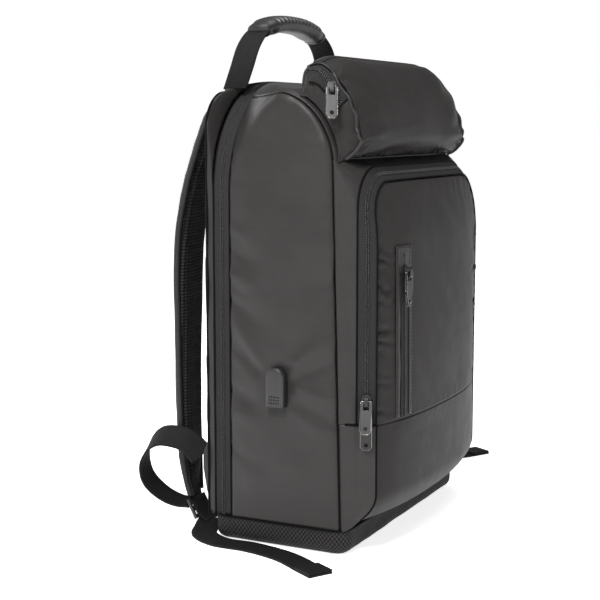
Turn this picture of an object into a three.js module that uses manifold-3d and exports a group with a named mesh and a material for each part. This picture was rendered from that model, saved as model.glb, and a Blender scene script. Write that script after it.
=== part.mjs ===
// A laptop backpack, standing upright on its base.
// Millimetres. Z is up, the wearer's side faces +Y, the pockets face -Y and the left side is -X.
// The origin lies on the floor, halfway across the bag and halfway through its main compartment.
import * as THREE from 'three';
import { mergeVertices } from 'three/addons/utils/BufferGeometryUtils.js';
import Module from 'manifold-3d';

// Cloth and clearances
const clothThickness = 2;
const tapeThickness = 1.4;
const webbingThickness = 2;
const webbingWidth = 25;
const seat = 0.3;
const pipingDiameter = 3;

// Main compartment
const bodyWidth = 294;
const bodyHeight = 444;
const zipFrontY = 50;
const zipBandWidth = 17;
const rimDepth = 6;
const wearerY = zipFrontY + zipBandWidth + rimDepth;
const frontWallTopY = -62;
const frontWallLean = 8;
const frontWallFootY = frontWallTopY - frontWallLean;
const shoulderY = 5;
const shoulderDrop = 8;
const archDrop = 76;
const archCentreZ = bodyHeight - shoulderDrop - archDrop;
const frontEdgeRadius = 12;
const zipCornerRadius = 105;
const roundingLead = 15;
const sideBulge = 7;
const bulgeFade = 60;
const backCornerRadius = 36;
const backCrown = 12;
const coilWidth = 4;
const coilProud = 0.4;

// Base tray
const baseHeight = 24;
const baseOverhang = 2;
const baseBackInset = 1;
const baseFrontY = frontWallFootY - baseOverhang;
const baseBackY = wearerY - baseBackInset;
const baseCornerRadius = 16;
const baseUnderRadius = 9;

// Front compartment: the zip runs round an inverted U, and the face stands out beyond it
const pocketTopDrop = 81;
const pocketTop = bodyHeight - pocketTopDrop;
const pocketRootRise = 6;
const pocketRootTop = pocketTop + pocketRootRise;
const pocketFaceDrop = 13;
const pocketFaceTop = pocketTop - pocketFaceDrop;
const pocketInset = 7;
const pocketZipHalfWidth = bodyWidth / 2 - pocketInset;
const pocketFaceInset = 6;
const pocketFaceHalfWidth = pocketZipHalfWidth - pocketFaceInset;
const pocketGussetDepth = 10;
const pocketZipY = frontWallFootY - pocketGussetDepth;
const pocketZipDepth = 17;
const pocketFaceY = pocketZipY - pocketZipDepth;
const pocketCornerRadius = 40;
const pocketSeamHeight = 126;
const pocketFootGap = 10;
const pocketFoot = baseHeight + pocketFootGap;
const pocketBulge = 17;
const faceTopRound = 50;
const faceTopTuck = 5;
const footCurlHeight = 26;
const footCurl = 16;
const underSag = 5;

// Welt pocket on the front
const weltInset = 41;
const weltX = -(pocketFaceHalfWidth - weltInset);
const weltWidth = 27;
const weltTopDrop = 60;
const weltTop = pocketFaceTop - weltTopDrop;
const weltFootGap = 3;
const weltZipWidth = 12;
const weltFrameThickness = 1.2;
const weltSliderDrop = 25;

// Top pouch
const pouchInset = 15;
const pouchHalfWidth = bodyWidth / 2 - pouchInset;
const pouchRiseOverBody = 20;
const pouchCrest = bodyHeight + pouchRiseOverBody;
const pouchFootRise = 11;
const pouchFootHeight = archCentreZ + pouchFootRise;
const pouchDepth = 48;
const pouchZipSetback = 30;
const pouchZipBackY = shoulderY - pouchZipSetback;
const pouchZipWidth = 15;
const pouchZipDrop = 3;
const pouchZipCrown = 2;
const pouchLap = 4;
const pouchEndDrop = 7;
const pouchEndDraw = 45;
const pouchEndPull = 5;
const pouchEndBulge = 5;

// Back pads
const padThickness = 13;
const padInset = 17;
const padHalfWidth = bodyWidth / 2 - padInset;
const padChannel = 22;
const padGroove = 5;
const padSlope = 9;
const padCorner = 13;

// Shoulder straps
const strapWidth = 62;
const strapThickness = 13;
const strapInset = 57;
const strapX = bodyWidth / 2 - strapInset;
const strapReach = 56;
const strapFoot = 26;

// Ladder locks, the webbing loops that come down to them and the tails on the floor
const lockLength = 21;
const lockRail = 3.5;
const lockThickness = 3;
const lockSlot = 3.6;
const lockAside = 2;
const lockDrop = 11;
const lockSetback = 5.5;
const loopReach = 87;
const loopTop = 94;
const leftTailX = 203;
const leftTailY = -74;
const rightTailX = 300;
const rightTailY = -54;
const tailRise = 2.6;
const wingReach = 9;
const wingThickness = 3;
const wingInset = 8;

// Handle
const handleSpan = bodyWidth * 2 / 3;
const handleSetback = 11;
const handleY = wearerY - handleSetback;
const handleRise = 67;
const handleTop = bodyHeight + handleRise;
const handleFootSetback = 3;
const gripWidth = 30;
const gripThickness = 17;
const gripSpan = 128;

// Zip sliders and pullers
const sliderWidth = 9;
const sliderLength = 13;
const sliderPlate = 2;
const sliderNose = 2;
const sliderTaper = 1.5;
const sliderSpacing = 2;
const tunnelHeight = 3;
const tunnelLength = 7;
const bridgeWidth = 4;
const bridgeThickness = 1.4;
const bridgeChamfer = 1.5;
const bridgeSunk = 0.5;
const pullerWidth = 10.4;
const pullerLength = 30;
const pullerThickness = 1.6;
const pullerRail = 2.4;
const pullerHole = 3.8;
const pullerShoulder = 1;
const pullerTip = 3;
const pullerSwingGap = 1.8;
const leafPullerLength = 32;
const leafTip = 3;
const leafSwell = 0.8;
const leafSlotWidth = 2.4;
const leafSlotLength = 2.5;
const leafSlotRise = 4;
const mainPullProud = 1.6;
const mainPullStep = 3;

// USB port housing
const usbY = -5;
const usbHeight = 156;
const usbLength = 32;
const usbWidth = 24;
const usbDepth = 8;
const usbCorner = 6;

// How far pullers lean out where something lies under them, in degrees
const upperPullerLean = 24;
const pouchPullerLean = 4;
const lockTilt = 62;
const strapTwistDegrees = 10;

// How finely the curved pieces are faceted
const bandSteps = 30;
const seamSteps = 20;

const wasm = await Module();
wasm.setup();

const { lerp, clamp, smoothstep, degToRad } = THREE.MathUtils;
const V = (x, y, z) => new THREE.Vector3(x, y, z);

const material = (color, roughness, metalness = 0) =>
  new THREE.MeshStandardMaterial({ color, roughness, metalness });
const finishes = {
  coatedCloth: material(0x474645, 0.55),
  baseCloth: material(0x2b2a29, 0.8),
  zipTape: material(0x1f1f1f, 0.8),
  coil: material(0x181818, 0.45),
  webbing: material(0x262422, 0.85),
  airMesh: material(0x1c1c1c, 0.95),
  grip: material(0x171717, 0.4),
  plastic: material(0x3a3b3c, 0.45),
  metal: material(0x55565a, 0.3, 0.9),
};

const bag = new THREE.Group();

function add(name, geometry, finish, parent = bag) {
  const mesh = new THREE.Mesh(geometry, finish);
  mesh.name = name;
  parent.add(mesh);
  return mesh;
}

// Builds an indexed closed geometry and turns it so that its faces point outwards.
function closed(points, faces) {
  let volume = 0;
  for (const [a, b, c] of faces) {
    volume += points[a].dot(new THREE.Vector3().crossVectors(points[b], points[c]));
  }
  const index = volume < 0 ? faces.flatMap(([a, b, c]) => [a, c, b]) : faces.flat();
  const geometry = new THREE.BufferGeometry();
  const places = points.flatMap((p) => p.toArray());
  geometry.setAttribute('position', new THREE.Float32BufferAttribute(places, 3));
  geometry.setIndex(index);
  return geometry;
}

// A closed body through rings of points, with a flat fan over each end.
function loft(rings) {
  const points = rings.flat();
  const faces = [];
  const count = rings[0].length;
  for (let i = 0; i + 1 < rings.length; i++) {
    for (let j = 0; j < count; j++) {
      const a = i * count + j;
      const b = i * count + ((j + 1) % count);
      faces.push([a, b, b + count], [a, b + count, a + count]);
    }
  }
  for (const [ring, start, turn] of [[rings[0], 0, -1], [rings.at(-1), points.length - count, 1]]) {
    const centre = ring.reduce((sum, p) => sum.add(p), V(0, 0, 0)).divideScalar(count);
    const middle = points.push(centre) - 1;
    for (let j = 0; j < count; j++) {
      const a = start + j;
      const b = start + ((j + 1) % count);
      faces.push(turn > 0 ? [a, b, middle] : [b, a, middle]);
    }
  }
  return closed(points, faces);
}

// The unit normal of a surface point(u, v), from short steps along u and v.
function surfaceNormal(point, u, v) {
  const step = 0.004;
  const alongU = point(Math.min(u + step, 1), v).sub(point(Math.max(u - step, 0), v));
  const alongV = point(u, Math.min(v + step, 1)).sub(point(u, Math.max(v - step, 0)));
  return alongU.cross(alongV).normalize();
}

// A wall of cloth: its outer face is point(u, v), its inner face lies towards the point inside.
function wall(point, stepsU, stepsV, thickness, inside) {
  const towards = inside.clone().sub(point(0.5, 0.5));
  const sign = surfaceNormal(point, 0.5, 0.5).dot(towards) > 0 ? 1 : -1;
  const outer = [];
  const inner = [];
  for (let i = 0; i <= stepsU; i++) {
    for (let j = 0; j <= stepsV; j++) {
      const u = i / stepsU;
      const v = j / stepsV;
      outer.push(point(u, v));
      inner.push(point(u, v).addScaledVector(surfaceNormal(point, u, v), sign * thickness));
    }
  }
  const row = stepsV + 1;
  const back = outer.length;
  const faces = [];
  for (let i = 0; i < stepsU; i++) {
    for (let j = 0; j < stepsV; j++) {
      const a = i * row + j;
      faces.push([a, a + row, a + row + 1], [a, a + row + 1, a + 1]);
      const b = back + a;
      faces.push([b, b + row + 1, b + row], [b, b + 1, b + row + 1]);
    }
  }
  const rim = (a, b) => faces.push([a, b, back + b], [a, back + b, back + a]);
  for (let i = 0; i < stepsU; i++) {
    rim((i + 1) * row, i * row);
    rim(i * row + stepsV, (i + 1) * row + stepsV);
  }
  for (let j = 0; j < stepsV; j++) {
    rim(j, j + 1);
    rim(stepsU * row + j + 1, stepsU * row + j);
  }
  return closed([...outer, ...inner], faces);
}

// A flat strap along a curve. side(t) is the direction of its width.
function ribbon(curve, side, width, thickness, steps) {
  const rings = [];
  for (let i = 0; i <= steps; i++) {
    const t = i / steps;
    const along = curve.getTangent(t);
    const across = side(t).clone();
    across.addScaledVector(along, -across.dot(along)).normalize();
    const up = new THREE.Vector3().crossVectors(along, across);
    const corner = (a, b) => curve.getPoint(t).addScaledVector(across, a * width / 2)
      .addScaledVector(up, b * thickness / 2);
    rings.push([corner(-1, -1), corner(1, -1), corner(1, 1), corner(-1, 1)]);
  }
  return loft(rings);
}

// Merges the vertices of a closed shape, so that its faces share them.
function welded(geometry) {
  geometry.deleteAttribute('normal');
  geometry.deleteAttribute('uv');
  return mergeVertices(geometry, 1e-4);
}

function solid(geometry) {
  const merged = geometry.index ? geometry : welded(geometry);
  return new wasm.Manifold(new wasm.Mesh({
    numProp: 3,
    vertProperties: new Float32Array(merged.attributes.position.array),
    triVerts: new Uint32Array(merged.index.array),
  }));
}

function fromSolid(body) {
  const { vertProperties, triVerts } = body.getMesh();
  const geometry = new THREE.BufferGeometry();
  geometry.setAttribute('position', new THREE.Float32BufferAttribute(Array.from(vertProperties), 3));
  geometry.setIndex(Array.from(triVerts));
  return geometry;
}

const curveThrough = (rows) => {
  const points = rows.map((row) => V(...row));
  return new THREE.CatmullRomCurve3(points, false, 'centripetal');
};

// An inverted U in the X-Z plane: up the left side, over the top and down the right side.
function archPath({ halfWidth, top, radius, foot, crown = 0 }) {
  const straight = top - radius - foot;
  const bend = radius * Math.PI / 2;
  const flat = 2 * (halfWidth - radius);
  const total = 2 * straight + 2 * bend + flat;
  return (s) => {
    const mirrored = s > 0.5 ? 1 - s : s;
    const run = mirrored * total;
    const sign = s > 0.5 ? 1 : -1;
    if (run < straight) return [sign * halfWidth, foot + run];
    if (run < straight + bend) {
      const angle = (run - straight) / radius;
      const x = halfWidth - radius + radius * Math.cos(angle);
      return [sign * x, top - radius + radius * Math.sin(angle)];
    }
    const x = halfWidth - radius - (run - straight - bend);
    return [sign * x, top + crown * (1 - (x / (halfWidth - radius)) ** 2)];
  };
}

// The same path with its stretches at the same shares of s, so that two such paths pair up.
function pairedArch(shape) {
  const { halfWidth, top, radius, foot, crown = 0 } = shape;
  const sideShare = 0.3;
  const bendShare = 0.14;
  return (s) => {
    const mirrored = s > 0.5 ? 1 - s : s;
    const sign = s > 0.5 ? 1 : -1;
    if (mirrored <= sideShare) return [sign * halfWidth, lerp(foot, top - radius, mirrored / sideShare)];
    if (mirrored <= sideShare + bendShare) {
      const angle = (mirrored - sideShare) / bendShare * Math.PI / 2;
      const x = halfWidth - radius + radius * Math.cos(angle);
      return [sign * x, top - radius + radius * Math.sin(angle)];
    }
    const share = 1 - (mirrored - sideShare - bendShare) / (0.5 - sideShare - bendShare);
    return [sign * (halfWidth - radius) * share, top + crown * (1 - share * share)];
  };
}

// Side view of the main compartment: from the zip over the arch and down the front wall.
const panelFoot = baseHeight + seat;
const archDepth = shoulderY - frontWallTopY;
const profile = new THREE.CurvePath();
profile.add(new THREE.LineCurve(
  new THREE.Vector2(zipFrontY - 3 * seat, bodyHeight),
  new THREE.Vector2(shoulderY, bodyHeight - shoulderDrop),
));
profile.add(new THREE.EllipseCurve(shoulderY, archCentreZ, archDepth, archDrop, Math.PI / 2, Math.PI));
profile.add(new THREE.LineCurve(
  new THREE.Vector2(frontWallTopY, archCentreZ),
  new THREE.Vector2(frontWallFootY, panelFoot),
));
const sampleCount = 240;
const profileSamples = Array.from({ length: sampleCount + 1 }, (_, i) => profile.getPoint(i / sampleCount));
const middleOfBag = V(0, 0, bodyHeight / 2);

function profileInward(t) {
  const step = 0.004;
  const before = profile.getPoint(Math.max(t - step, 0));
  const along = profile.getPoint(Math.min(t + step, 1)).sub(before).normalize();
  return new THREE.Vector2(-along.y, along.x);
}

// The rounding between the side panels and the sheet over the top grows towards the zip.
function edgeRadius(y) {
  const start = shoulderY - roundingLead;
  const share = clamp((y - start) / (zipFrontY - start), 0, 1);
  return frontEdgeRadius + (zipCornerRadius - frontEdgeRadius) * share ** 1.6;
}

// The seam runs this deep into the rounding.
function seamDepth(y) {
  return edgeRadius(y) * lerp(0.33, 0.11, clamp((edgeRadius(y) - frontEdgeRadius) / zipCornerRadius, 0, 1));
}
const seamAngle = (y) => Math.acos(1 - seamDepth(y) / edgeRadius(y));

// Half the slit that holds the piping, as an angle of the rounding. It is wider where the seam
// runs aslant, so that it stays as wide across.
function slitAngle(t) {
  const step = 0.01;
  const ends = [Math.max(t - step, 0), Math.min(t + step, 1)].map((share) => profile.getPoint(share));
  const xs = ends.map(({ x }) => edgeRadius(x) * (1 - Math.sin(seamAngle(x))));
  const slant = (xs[0] - xs[1]) / ends[0].distanceTo(ends[1]);
  return (pipingDiameter / 2 + 3 * seat) * Math.hypot(1, slant) / edgeRadius(profile.getPoint(t).x);
}

// A point on the rounding: angle 0 is on the top sheet, 90 degrees is on the side panel.
function edgePoint(t, angle, sign, proud = 0) {
  const p = profile.getPoint(t);
  const inward = profileInward(t);
  const radius = edgeRadius(p.x);
  const inset = radius * (1 - Math.cos(angle)) - proud * Math.cos(angle);
  const x = bodyWidth / 2 - radius + (radius + proud) * Math.sin(angle);
  return V(sign * x, p.x + inward.x * inset, p.y + inward.y * inset);
}

function depthInProfile(y, z) {
  let nearest = Infinity;
  for (const p of profileSamples) nearest = Math.min(nearest, Math.hypot(p.x - y, p.y - z));
  return nearest;
}

// Half the bag's width at a point of the side panel.
function halfWidthAt(y, z) {
  const radius = edgeRadius(y);
  const depth = Math.min(depthInProfile(y, z), radius);
  const rounding = radius - Math.sqrt(Math.max(radius ** 2 - (radius - depth) ** 2, 0));
  const reach = (zipFrontY - frontWallTopY) / 2;
  const across = 1 - ((y - (zipFrontY + frontWallTopY) / 2) / reach) ** 2;
  const rising = smoothstep(z, baseHeight, baseHeight + bulgeFade);
  const upward = rising * (1 - smoothstep(z, archCentreZ - bulgeFade * 2 / 3, bodyHeight - bulgeFade / 3));
  return bodyWidth / 2 - rounding + sideBulge * Math.max(across, 0) * upward;
}

function sidePanelPoint(sign) {
  const panelEdge = (t) => edgePoint(t, seamAngle(profile.getPoint(t).x) + slitAngle(t), sign);
  const firstShare = 0.01;
  const topZ = panelEdge(firstShare).z;
  const backY = zipFrontY - seat;
  return (u, v) => {
    const front = panelEdge(Math.max(firstShare, u));
    const y = lerp(front.y, backY, v);
    const z = lerp(front.z, lerp(topZ, panelFoot, u), v);
    const fit = Math.abs(front.x) - halfWidthAt(front.y, front.z);
    return V(sign * (halfWidthAt(y, z) + fit * (1 - v)), y, z);
  };
}

function topSheetPoint(across, t) {
  const cornerShare = 0.22;
  const y = profile.getPoint(t).x;
  const reach = seamAngle(y) - slitAngle(t);
  if (across < cornerShare) return edgePoint(t, reach * (1 - across / cornerShare), -1);
  if (across > 1 - cornerShare) return edgePoint(t, reach * (1 - (1 - across) / cornerShare), 1);
  const half = bodyWidth / 2 - edgeRadius(y);
  const share = (across - cornerShare) / (1 - 2 * cornerShare) * 2 - 1;
  const p = profile.getPoint(t);
  return V(half * share, p.x, p.y);
}

// A thin cord in the slit between a side panel and the sheet over the top.
function seamPiping(sign) {
  const sides = 6;
  const middle = (t) => edgePoint(t, seamAngle(profile.getPoint(t).x), sign, -pipingDiameter / 10);
  const rings = [];
  for (let i = 0; i <= seamSteps; i++) {
    const t = clamp(i / seamSteps, 0.006, 1);
    const along = middle(Math.min(t + 0.01, 1)).sub(middle(t - 0.005)).normalize();
    const across = new THREE.Vector3().crossVectors(along, V(sign, 0, 0)).normalize();
    const up = new THREE.Vector3().crossVectors(along, across);
    rings.push(Array.from({ length: sides }, (_, j) => {
      const angle = j / sides * Math.PI * 2;
      return middle(t).addScaledVector(across, Math.cos(angle) * pipingDiameter / 2)
        .addScaledVector(up, Math.sin(angle) * pipingDiameter / 2);
    }));
  }
  return loft(rings);
}

function mainCompartment() {
  for (const [side, sign] of [['left', -1], ['right', 1]]) {
    const panel = wall(sidePanelPoint(sign), seamSteps, 6, clothThickness, middleOfBag);
    add(`side_panel_${side}`, panel, finishes.coatedCloth);
    add(`seam_piping_${side}`, seamPiping(sign), finishes.webbing);
  }
  const sheet = wall(topSheetPoint, 12, seamSteps, clothThickness, middleOfBag);
  add('body_front_panel', sheet, finishes.coatedCloth);
}

// Main zip: two tapes and a coil between them, round the inverted U.
const mainZipArch = {
  halfWidth: bodyWidth / 2 - 2 * seat,
  top: bodyHeight - 2 * seat,
  radius: zipCornerRadius,
  foot: panelFoot,
};
const tapeWidth = (zipBandWidth - coilWidth - 4 * seat) / 2;

function archBand(arch, y0, y1, thickness, steps) {
  const path = archPath(arch);
  const point = (s, v) => {
    const [x, z] = path(s);
    return V(x, lerp(y0, y1, v), z);
  };
  return wall(point, steps, 1, thickness, V(0, (y0 + y1) / 2, bodyHeight / 2));
}

function mainZip() {
  const frontY = zipFrontY + seat;
  const coilY = frontY + tapeWidth + seat;
  const rearY = coilY + coilWidth + seat;
  const raised = {
    ...mainZipArch,
    halfWidth: mainZipArch.halfWidth + coilProud,
    top: mainZipArch.top + coilProud,
  };
  const frontTape = archBand(mainZipArch, frontY, frontY + tapeWidth, tapeThickness, bandSteps);
  const coil = archBand(raised, coilY, coilY + coilWidth, tapeThickness + 2 * seat, bandSteps);
  const backTape = archBand(mainZipArch, rearY, rearY + tapeWidth, tapeThickness, bandSteps);
  add('main_zip_front_tape', frontTape, finishes.zipTape);
  add('main_zip_coil', coil, finishes.coil);
  add('main_zip_back_tape', backTape, finishes.zipTape);
}

// Wearer's side: a rim from the zip to the flat panel, and the panel inside it.
const backArch = { halfWidth: bodyWidth / 2, top: bodyHeight - backCrown, radius: backCornerRadius,
  foot: panelFoot, crown: backCrown };

function wearerSide() {
  const zipEdge = pairedArch({ ...mainZipArch, halfWidth: bodyWidth / 2, top: bodyHeight });
  const outline = pairedArch(backArch);
  const rimY = zipFrontY + zipBandWidth + 6 * seat;
  const rim = (s, v) => {
    const [x0, z0] = zipEdge(s);
    const [x1, z1] = outline(s);
    return V(lerp(x0, x1, v), lerp(rimY, wearerY - clothThickness, v), lerp(z0, z1, v));
  };
  add('back_rim', wall(rim, bandSteps, 2, clothThickness, V(0, rimY, bodyHeight / 2)), finishes.coatedCloth);
  const flat = new THREE.Shape();
  const path = archPath(backArch);
  const edge = Array.from({ length: bandSteps + 1 }, (_, i) => path(i / bandSteps));
  edge.forEach(([x, z], i) => (i === 0 ? flat.moveTo(x, z) : flat.lineTo(x, z)));
  flat.closePath();
  const plate = welded(new THREE.ExtrudeGeometry(flat, { depth: clothThickness, bevelEnabled: false }));
  const panel = add('back_panel', plate, finishes.coatedCloth);
  panel.rotation.x = Math.PI / 2;
  panel.position.y = wearerY + seat + clothThickness;
}

// Four rows of padded air mesh on each side of the central channel.
const padRows = [
  { name: 'hip', low: 0.207, high: 0.441 },
  { name: 'waist', low: 0.441, high: 0.657 },
  { name: 'upper', low: 0.657, high: 0.8 },
  { name: 'shoulder', low: 0.8, high: 0.924 },
];
const panelOuterY = wearerY + seat + clothThickness;

function pillow(x0, x1, z0, z1, y0, depth) {
  const layers = [[0, 0], [0.55, 0], [1, 1]];
  const rings = layers.map(([rise, shrink]) => {
    const pull = padSlope * shrink;
    const points = [];
    for (let i = 0; i < 12; i++) {
      const angle = (i + 0.5) / 12 * Math.PI * 2;
      const cx = Math.cos(angle);
      const cz = Math.sin(angle);
      const halfX = (x1 - x0) / 2 - pull - padCorner;
      const halfZ = (z1 - z0) / 2 - pull - padCorner;
      points.push(V((x0 + x1) / 2 + Math.sign(cx) * halfX + padCorner * cx, y0 + depth * rise,
        (z0 + z1) / 2 + Math.sign(cz) * halfZ + padCorner * cz));
    }
    return points;
  });
  return loft(rings);
}

function backPads() {
  for (const [side, sign] of [['left', -1], ['right', 1]]) {
    for (const { name, low, high } of padRows) {
      const inner = sign * padChannel / 2;
      const outer = sign * padHalfWidth;
      const z0 = low * bodyHeight + padGroove / 2;
      const z1 = high * bodyHeight - padGroove / 2;
      const [x0, x1] = [inner, outer].sort((a, b) => a - b);
      const pad = pillow(x0, x1, z0, z1, panelOuterY + seat, padThickness);
      add(`back_pad_${name}_${side}`, pad, finishes.airMesh);
    }
  }
}

// Base: a tray with rounded lower edges.
function trayRing(inset, z) {
  const halfX = bodyWidth / 2 - inset;
  const front = baseFrontY + inset;
  const back = baseBackY - inset;
  const radius = Math.max(baseCornerRadius - inset, 4);
  const points = [];
  const corners = [[1, back, 0], [-1, back, 1], [-1, front, 2], [1, front, 3]];
  for (const [signX, y, quarter] of corners) {
    for (let i = 0; i <= 4; i++) {
      const angle = (quarter + i / 4) * Math.PI / 2;
      const centreY = y === back ? back - radius : front + radius;
      const x = signX * (halfX - radius) + radius * Math.cos(angle);
      points.push(V(x, centreY + radius * Math.sin(angle), z));
    }
  }
  return points;
}

function baseTray() {
  const r = baseUnderRadius;
  const rings = [
    trayRing(r, clothThickness),
    trayRing(clothThickness + r * 0.3, clothThickness + r * 0.3),
    trayRing(clothThickness, clothThickness + r),
    trayRing(clothThickness, baseHeight),
    trayRing(0, baseHeight),
    trayRing(0, r),
    trayRing(r * 0.3, r * 0.3),
    trayRing(r, 0),
  ];
  add('base_tray', loft(rings), finishes.baseCloth);
}

// Front compartment: three paired arches carry the gusset, the zip band and the face.
const seamX = edgePoint(0.9, seamAngle(frontWallTopY), 1).x;
const rootArch = {
  halfWidth: seamX,
  top: pocketRootTop,
  radius: pocketCornerRadius * 0.8,
  foot: pocketSeamHeight,
};
const zipArch = {
  halfWidth: pocketZipHalfWidth,
  top: pocketTop,
  radius: pocketCornerRadius,
  foot: pocketSeamHeight,
};
const faceArch = {
  halfWidth: pocketFaceHalfWidth,
  top: pocketFaceTop,
  radius: pocketCornerRadius * 0.875,
  foot: pocketSeamHeight,
};

function frontWallY(z) {
  return lerp(frontWallTopY, frontWallFootY, (archCentreZ - z) / (archCentreZ - panelFoot));
}

const rootGap = seat + pipingDiameter / 2;
const pocketInside = V(0, (pocketZipY + frontWallFootY) / 2, pocketTop / 2);

// A band between two arches: share 0 is on the first, 1 on the second.
function pocketBand(first, firstY, second, secondY, from, to) {
  const a = pairedArch(first);
  const b = pairedArch(second);
  return (s, v) => {
    const share = lerp(from, to, v);
    const [x0, z0] = a(s);
    const [x1, z1] = b(s);
    return V(lerp(x0, x1, share), lerp(firstY(z0), secondY(z1), share), lerp(z0, z1, share));
  };
}

const rootY = (z) => frontWallY(Math.min(z, archCentreZ)) - rootGap + 0.055 * Math.max(z - archCentreZ, 0);
const zipEdgeY = () => pocketZipY;
const faceEdgeY = (z) => {
  const share = smoothstep(z, pocketFaceTop - 1.2 * faceTopRound, pocketFaceTop);
  return pocketFaceY + faceTopTuck * share;
};

function pocketGusset() {
  add('pocket_gusset', wall(pocketBand(rootArch, rootY, zipArch, zipEdgeY, 0, 0.96), bandSteps, 2,
    clothThickness, pocketInside), finishes.coatedCloth);
  const bandLength = Math.hypot(pocketZipHalfWidth - pocketFaceHalfWidth, pocketZipY - pocketFaceY);
  const coilShare = coilWidth / bandLength;
  const seatShare = seat / bandLength;
  const tapeShare = (1 - coilShare - 4 * seatShare) / 2;
  let from = seatShare;
  for (const [name, share, finish] of [
    ['pocket_zip_outer_tape', tapeShare, finishes.zipTape],
    ['pocket_zip_coil', coilShare, finishes.coil],
    ['pocket_zip_inner_tape', tapeShare, finishes.zipTape],
  ]) {
    add(name, wall(pocketBand(zipArch, zipEdgeY, faceArch, faceEdgeY, from, from + share), bandSteps, 1,
      tapeThickness, pocketInside), finish);
    from += share + seatShare;
  }
  for (const [side, sign] of [['left', -1], ['right', 1]]) {
    const lower = (u, v) => {
      const z = lerp(pocketFoot, pocketSeamHeight - seat, u);
      const x = lerp(seamX, pocketFaceHalfWidth, v) + clothThickness * 0.75 * Math.sin(Math.PI * v);
      return V(sign * x, lerp(rootY(z), pocketFaceY + lowerTuck(z), v), z);
    };
    add(`pocket_side_lower_${side}`, wall(lower, 6, 3, clothThickness, pocketInside), finishes.coatedCloth);
  }
}

// The lower panel curls back under the compartment.
function lowerTuck(z) {
  const share = clamp((pocketFoot + footCurlHeight - z) / footCurlHeight, 0, 1);
  return footCurl * share * share;
}

function faceHalfWidth(z) {
  const up = z - (pocketFaceTop - faceArch.radius);
  if (up <= 0) return pocketFaceHalfWidth;
  return pocketFaceHalfWidth - faceArch.radius + Math.sqrt(Math.max(faceArch.radius ** 2 - up ** 2, 0));
}

// How far the face stands out at x, z. It is flat at its edges and fullest low in the middle.
function faceY(x, z) {
  const half = faceHalfWidth(Math.min(z, pocketFaceTop - seat));
  const across = 1 - Math.min(Math.abs(x / half), 1) ** 2.6;
  const top = clamp((pocketFaceTop - z) / faceTopRound, 0, 1);
  const upward = Math.sqrt(1 - (1 - top) ** 2);
  const downward = smoothstep(pocketFaceTop - z, 0, pocketFaceTop - pocketSeamHeight);
  return faceEdgeY(z) + lowerTuck(z) - pocketBulge * across * upward * lerp(0.8, 1, downward);
}

function pocketFace() {
  const tuckedIn = clothThickness + 2 * seat;
  const upper = (u, v) => {
    const z = lerp(pocketSeamHeight + seat, pocketFaceTop - tuckedIn, u);
    const x = (v * 2 - 1) * (faceHalfWidth(z + 1) - tuckedIn);
    return V(x, faceY(x, z), z);
  };
  add('pocket_upper_panel', wall(upper, 12, 10, clothThickness, pocketInside), finishes.coatedCloth);
  const underY = frontWallFootY - seat;
  const lower = (u, v) => {
    const flatShare = 0.75;
    const z = lerp(pocketSeamHeight - seat, pocketFoot, Math.min(u / flatShare, 1));
    const x = (v * 2 - 1) * (pocketFaceHalfWidth - tuckedIn);
    const y = faceY(x, z);
    if (u <= flatShare) return V(x, y, z);
    const under = (u - flatShare) / (1 - flatShare);
    return V(x, lerp(y, underY, under), pocketFoot - underSag * Math.sin(under * Math.PI / 2));
  };
  add('pocket_lower_panel', wall(lower, 9, 10, clothThickness, V(0, pocketZipY, pocketSeamHeight)),
    finishes.coatedCloth);
}

// Welt pocket: a stitched frame on the face with a zip tape in its window.
function onFace(x, z, proud) {
  return V(x, faceY(x, z) - proud, z);
}

function weltPocket() {
  const low = pocketSeamHeight + weltFootGap;
  const bar = (weltWidth - weltZipWidth) / 2 - seat;
  const strip = (x0, x1, z0, z1, proud) => (u, v) => onFace(lerp(x0, x1, v), lerp(z0, z1, u), proud);
  const behind = V(weltX, 0, weltTop);
  const lift = seat + weltFrameThickness;
  const parts = [
    strip(weltX - weltWidth / 2, weltX - weltWidth / 2 + bar, low, weltTop, lift),
    strip(weltX + weltWidth / 2 - bar, weltX + weltWidth / 2, low, weltTop, lift),
    strip(weltX - weltWidth / 2, weltX + weltWidth / 2, weltTop - bar, weltTop, lift),
  ];
  const frame = parts.map((part) => solid(wall(part, 6, 1, weltFrameThickness, behind)));
  add('welt_frame', fromSolid(frame[0].add(frame[1]).add(frame[2])), finishes.coatedCloth);
  add('welt_zip_tape', wall(strip(weltX - weltZipWidth / 2, weltX + weltZipWidth / 2, low,
    weltTop - bar - seat, seat + tapeThickness), 6, 1, tapeThickness, behind), finishes.zipTape);
}

// Top pouch: a roll of cloth over the arch. Its section is the same from end to end but for the
// dip at the ends. Columns: y and z, as shares of the pouch's depth and height.
const pouchRise = pouchCrest - pouchFootHeight;
const pouchSection = [
  { forward: 0.09, up: 1.0 },
  { forward: 0.42, up: 0.93 },
  { forward: 0.79, up: 0.67 },
  { forward: 1.0, up: 0.37 },
  { forward: 1.03, up: 0.2 },
  { forward: 0.84, up: 0.06 },
  { forward: 0.62, up: 0.0 },
];
const pouchShellBackY = pouchZipBackY - pouchZipWidth;
const pouchCurve = curveThrough(pouchSection.map(({ forward, up }) => [
  0,
  pouchShellBackY + pouchLap - forward * pouchDepth,
  pouchFootHeight + up * pouchRise,
]));

// The ends of the roll draw in and dip.
function endShare(x) {
  const share = clamp((Math.abs(x) - pouchHalfWidth + pouchEndDraw) / pouchEndDraw, 0, 1);
  return share * share;
}

function pouchPoint(v, x) {
  const p = pouchCurve.getPoint(v);
  const draw = endShare(x);
  const high = smoothstep(v, 0, 0.1) * (1 - smoothstep(v, 0.75, 1));
  const y = p.y + pouchEndPull * draw * high;
  const z = p.z - pouchEndDrop * draw * (1 - smoothstep(v, 0.5, 1));
  return V(x, y, z);
}

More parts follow.
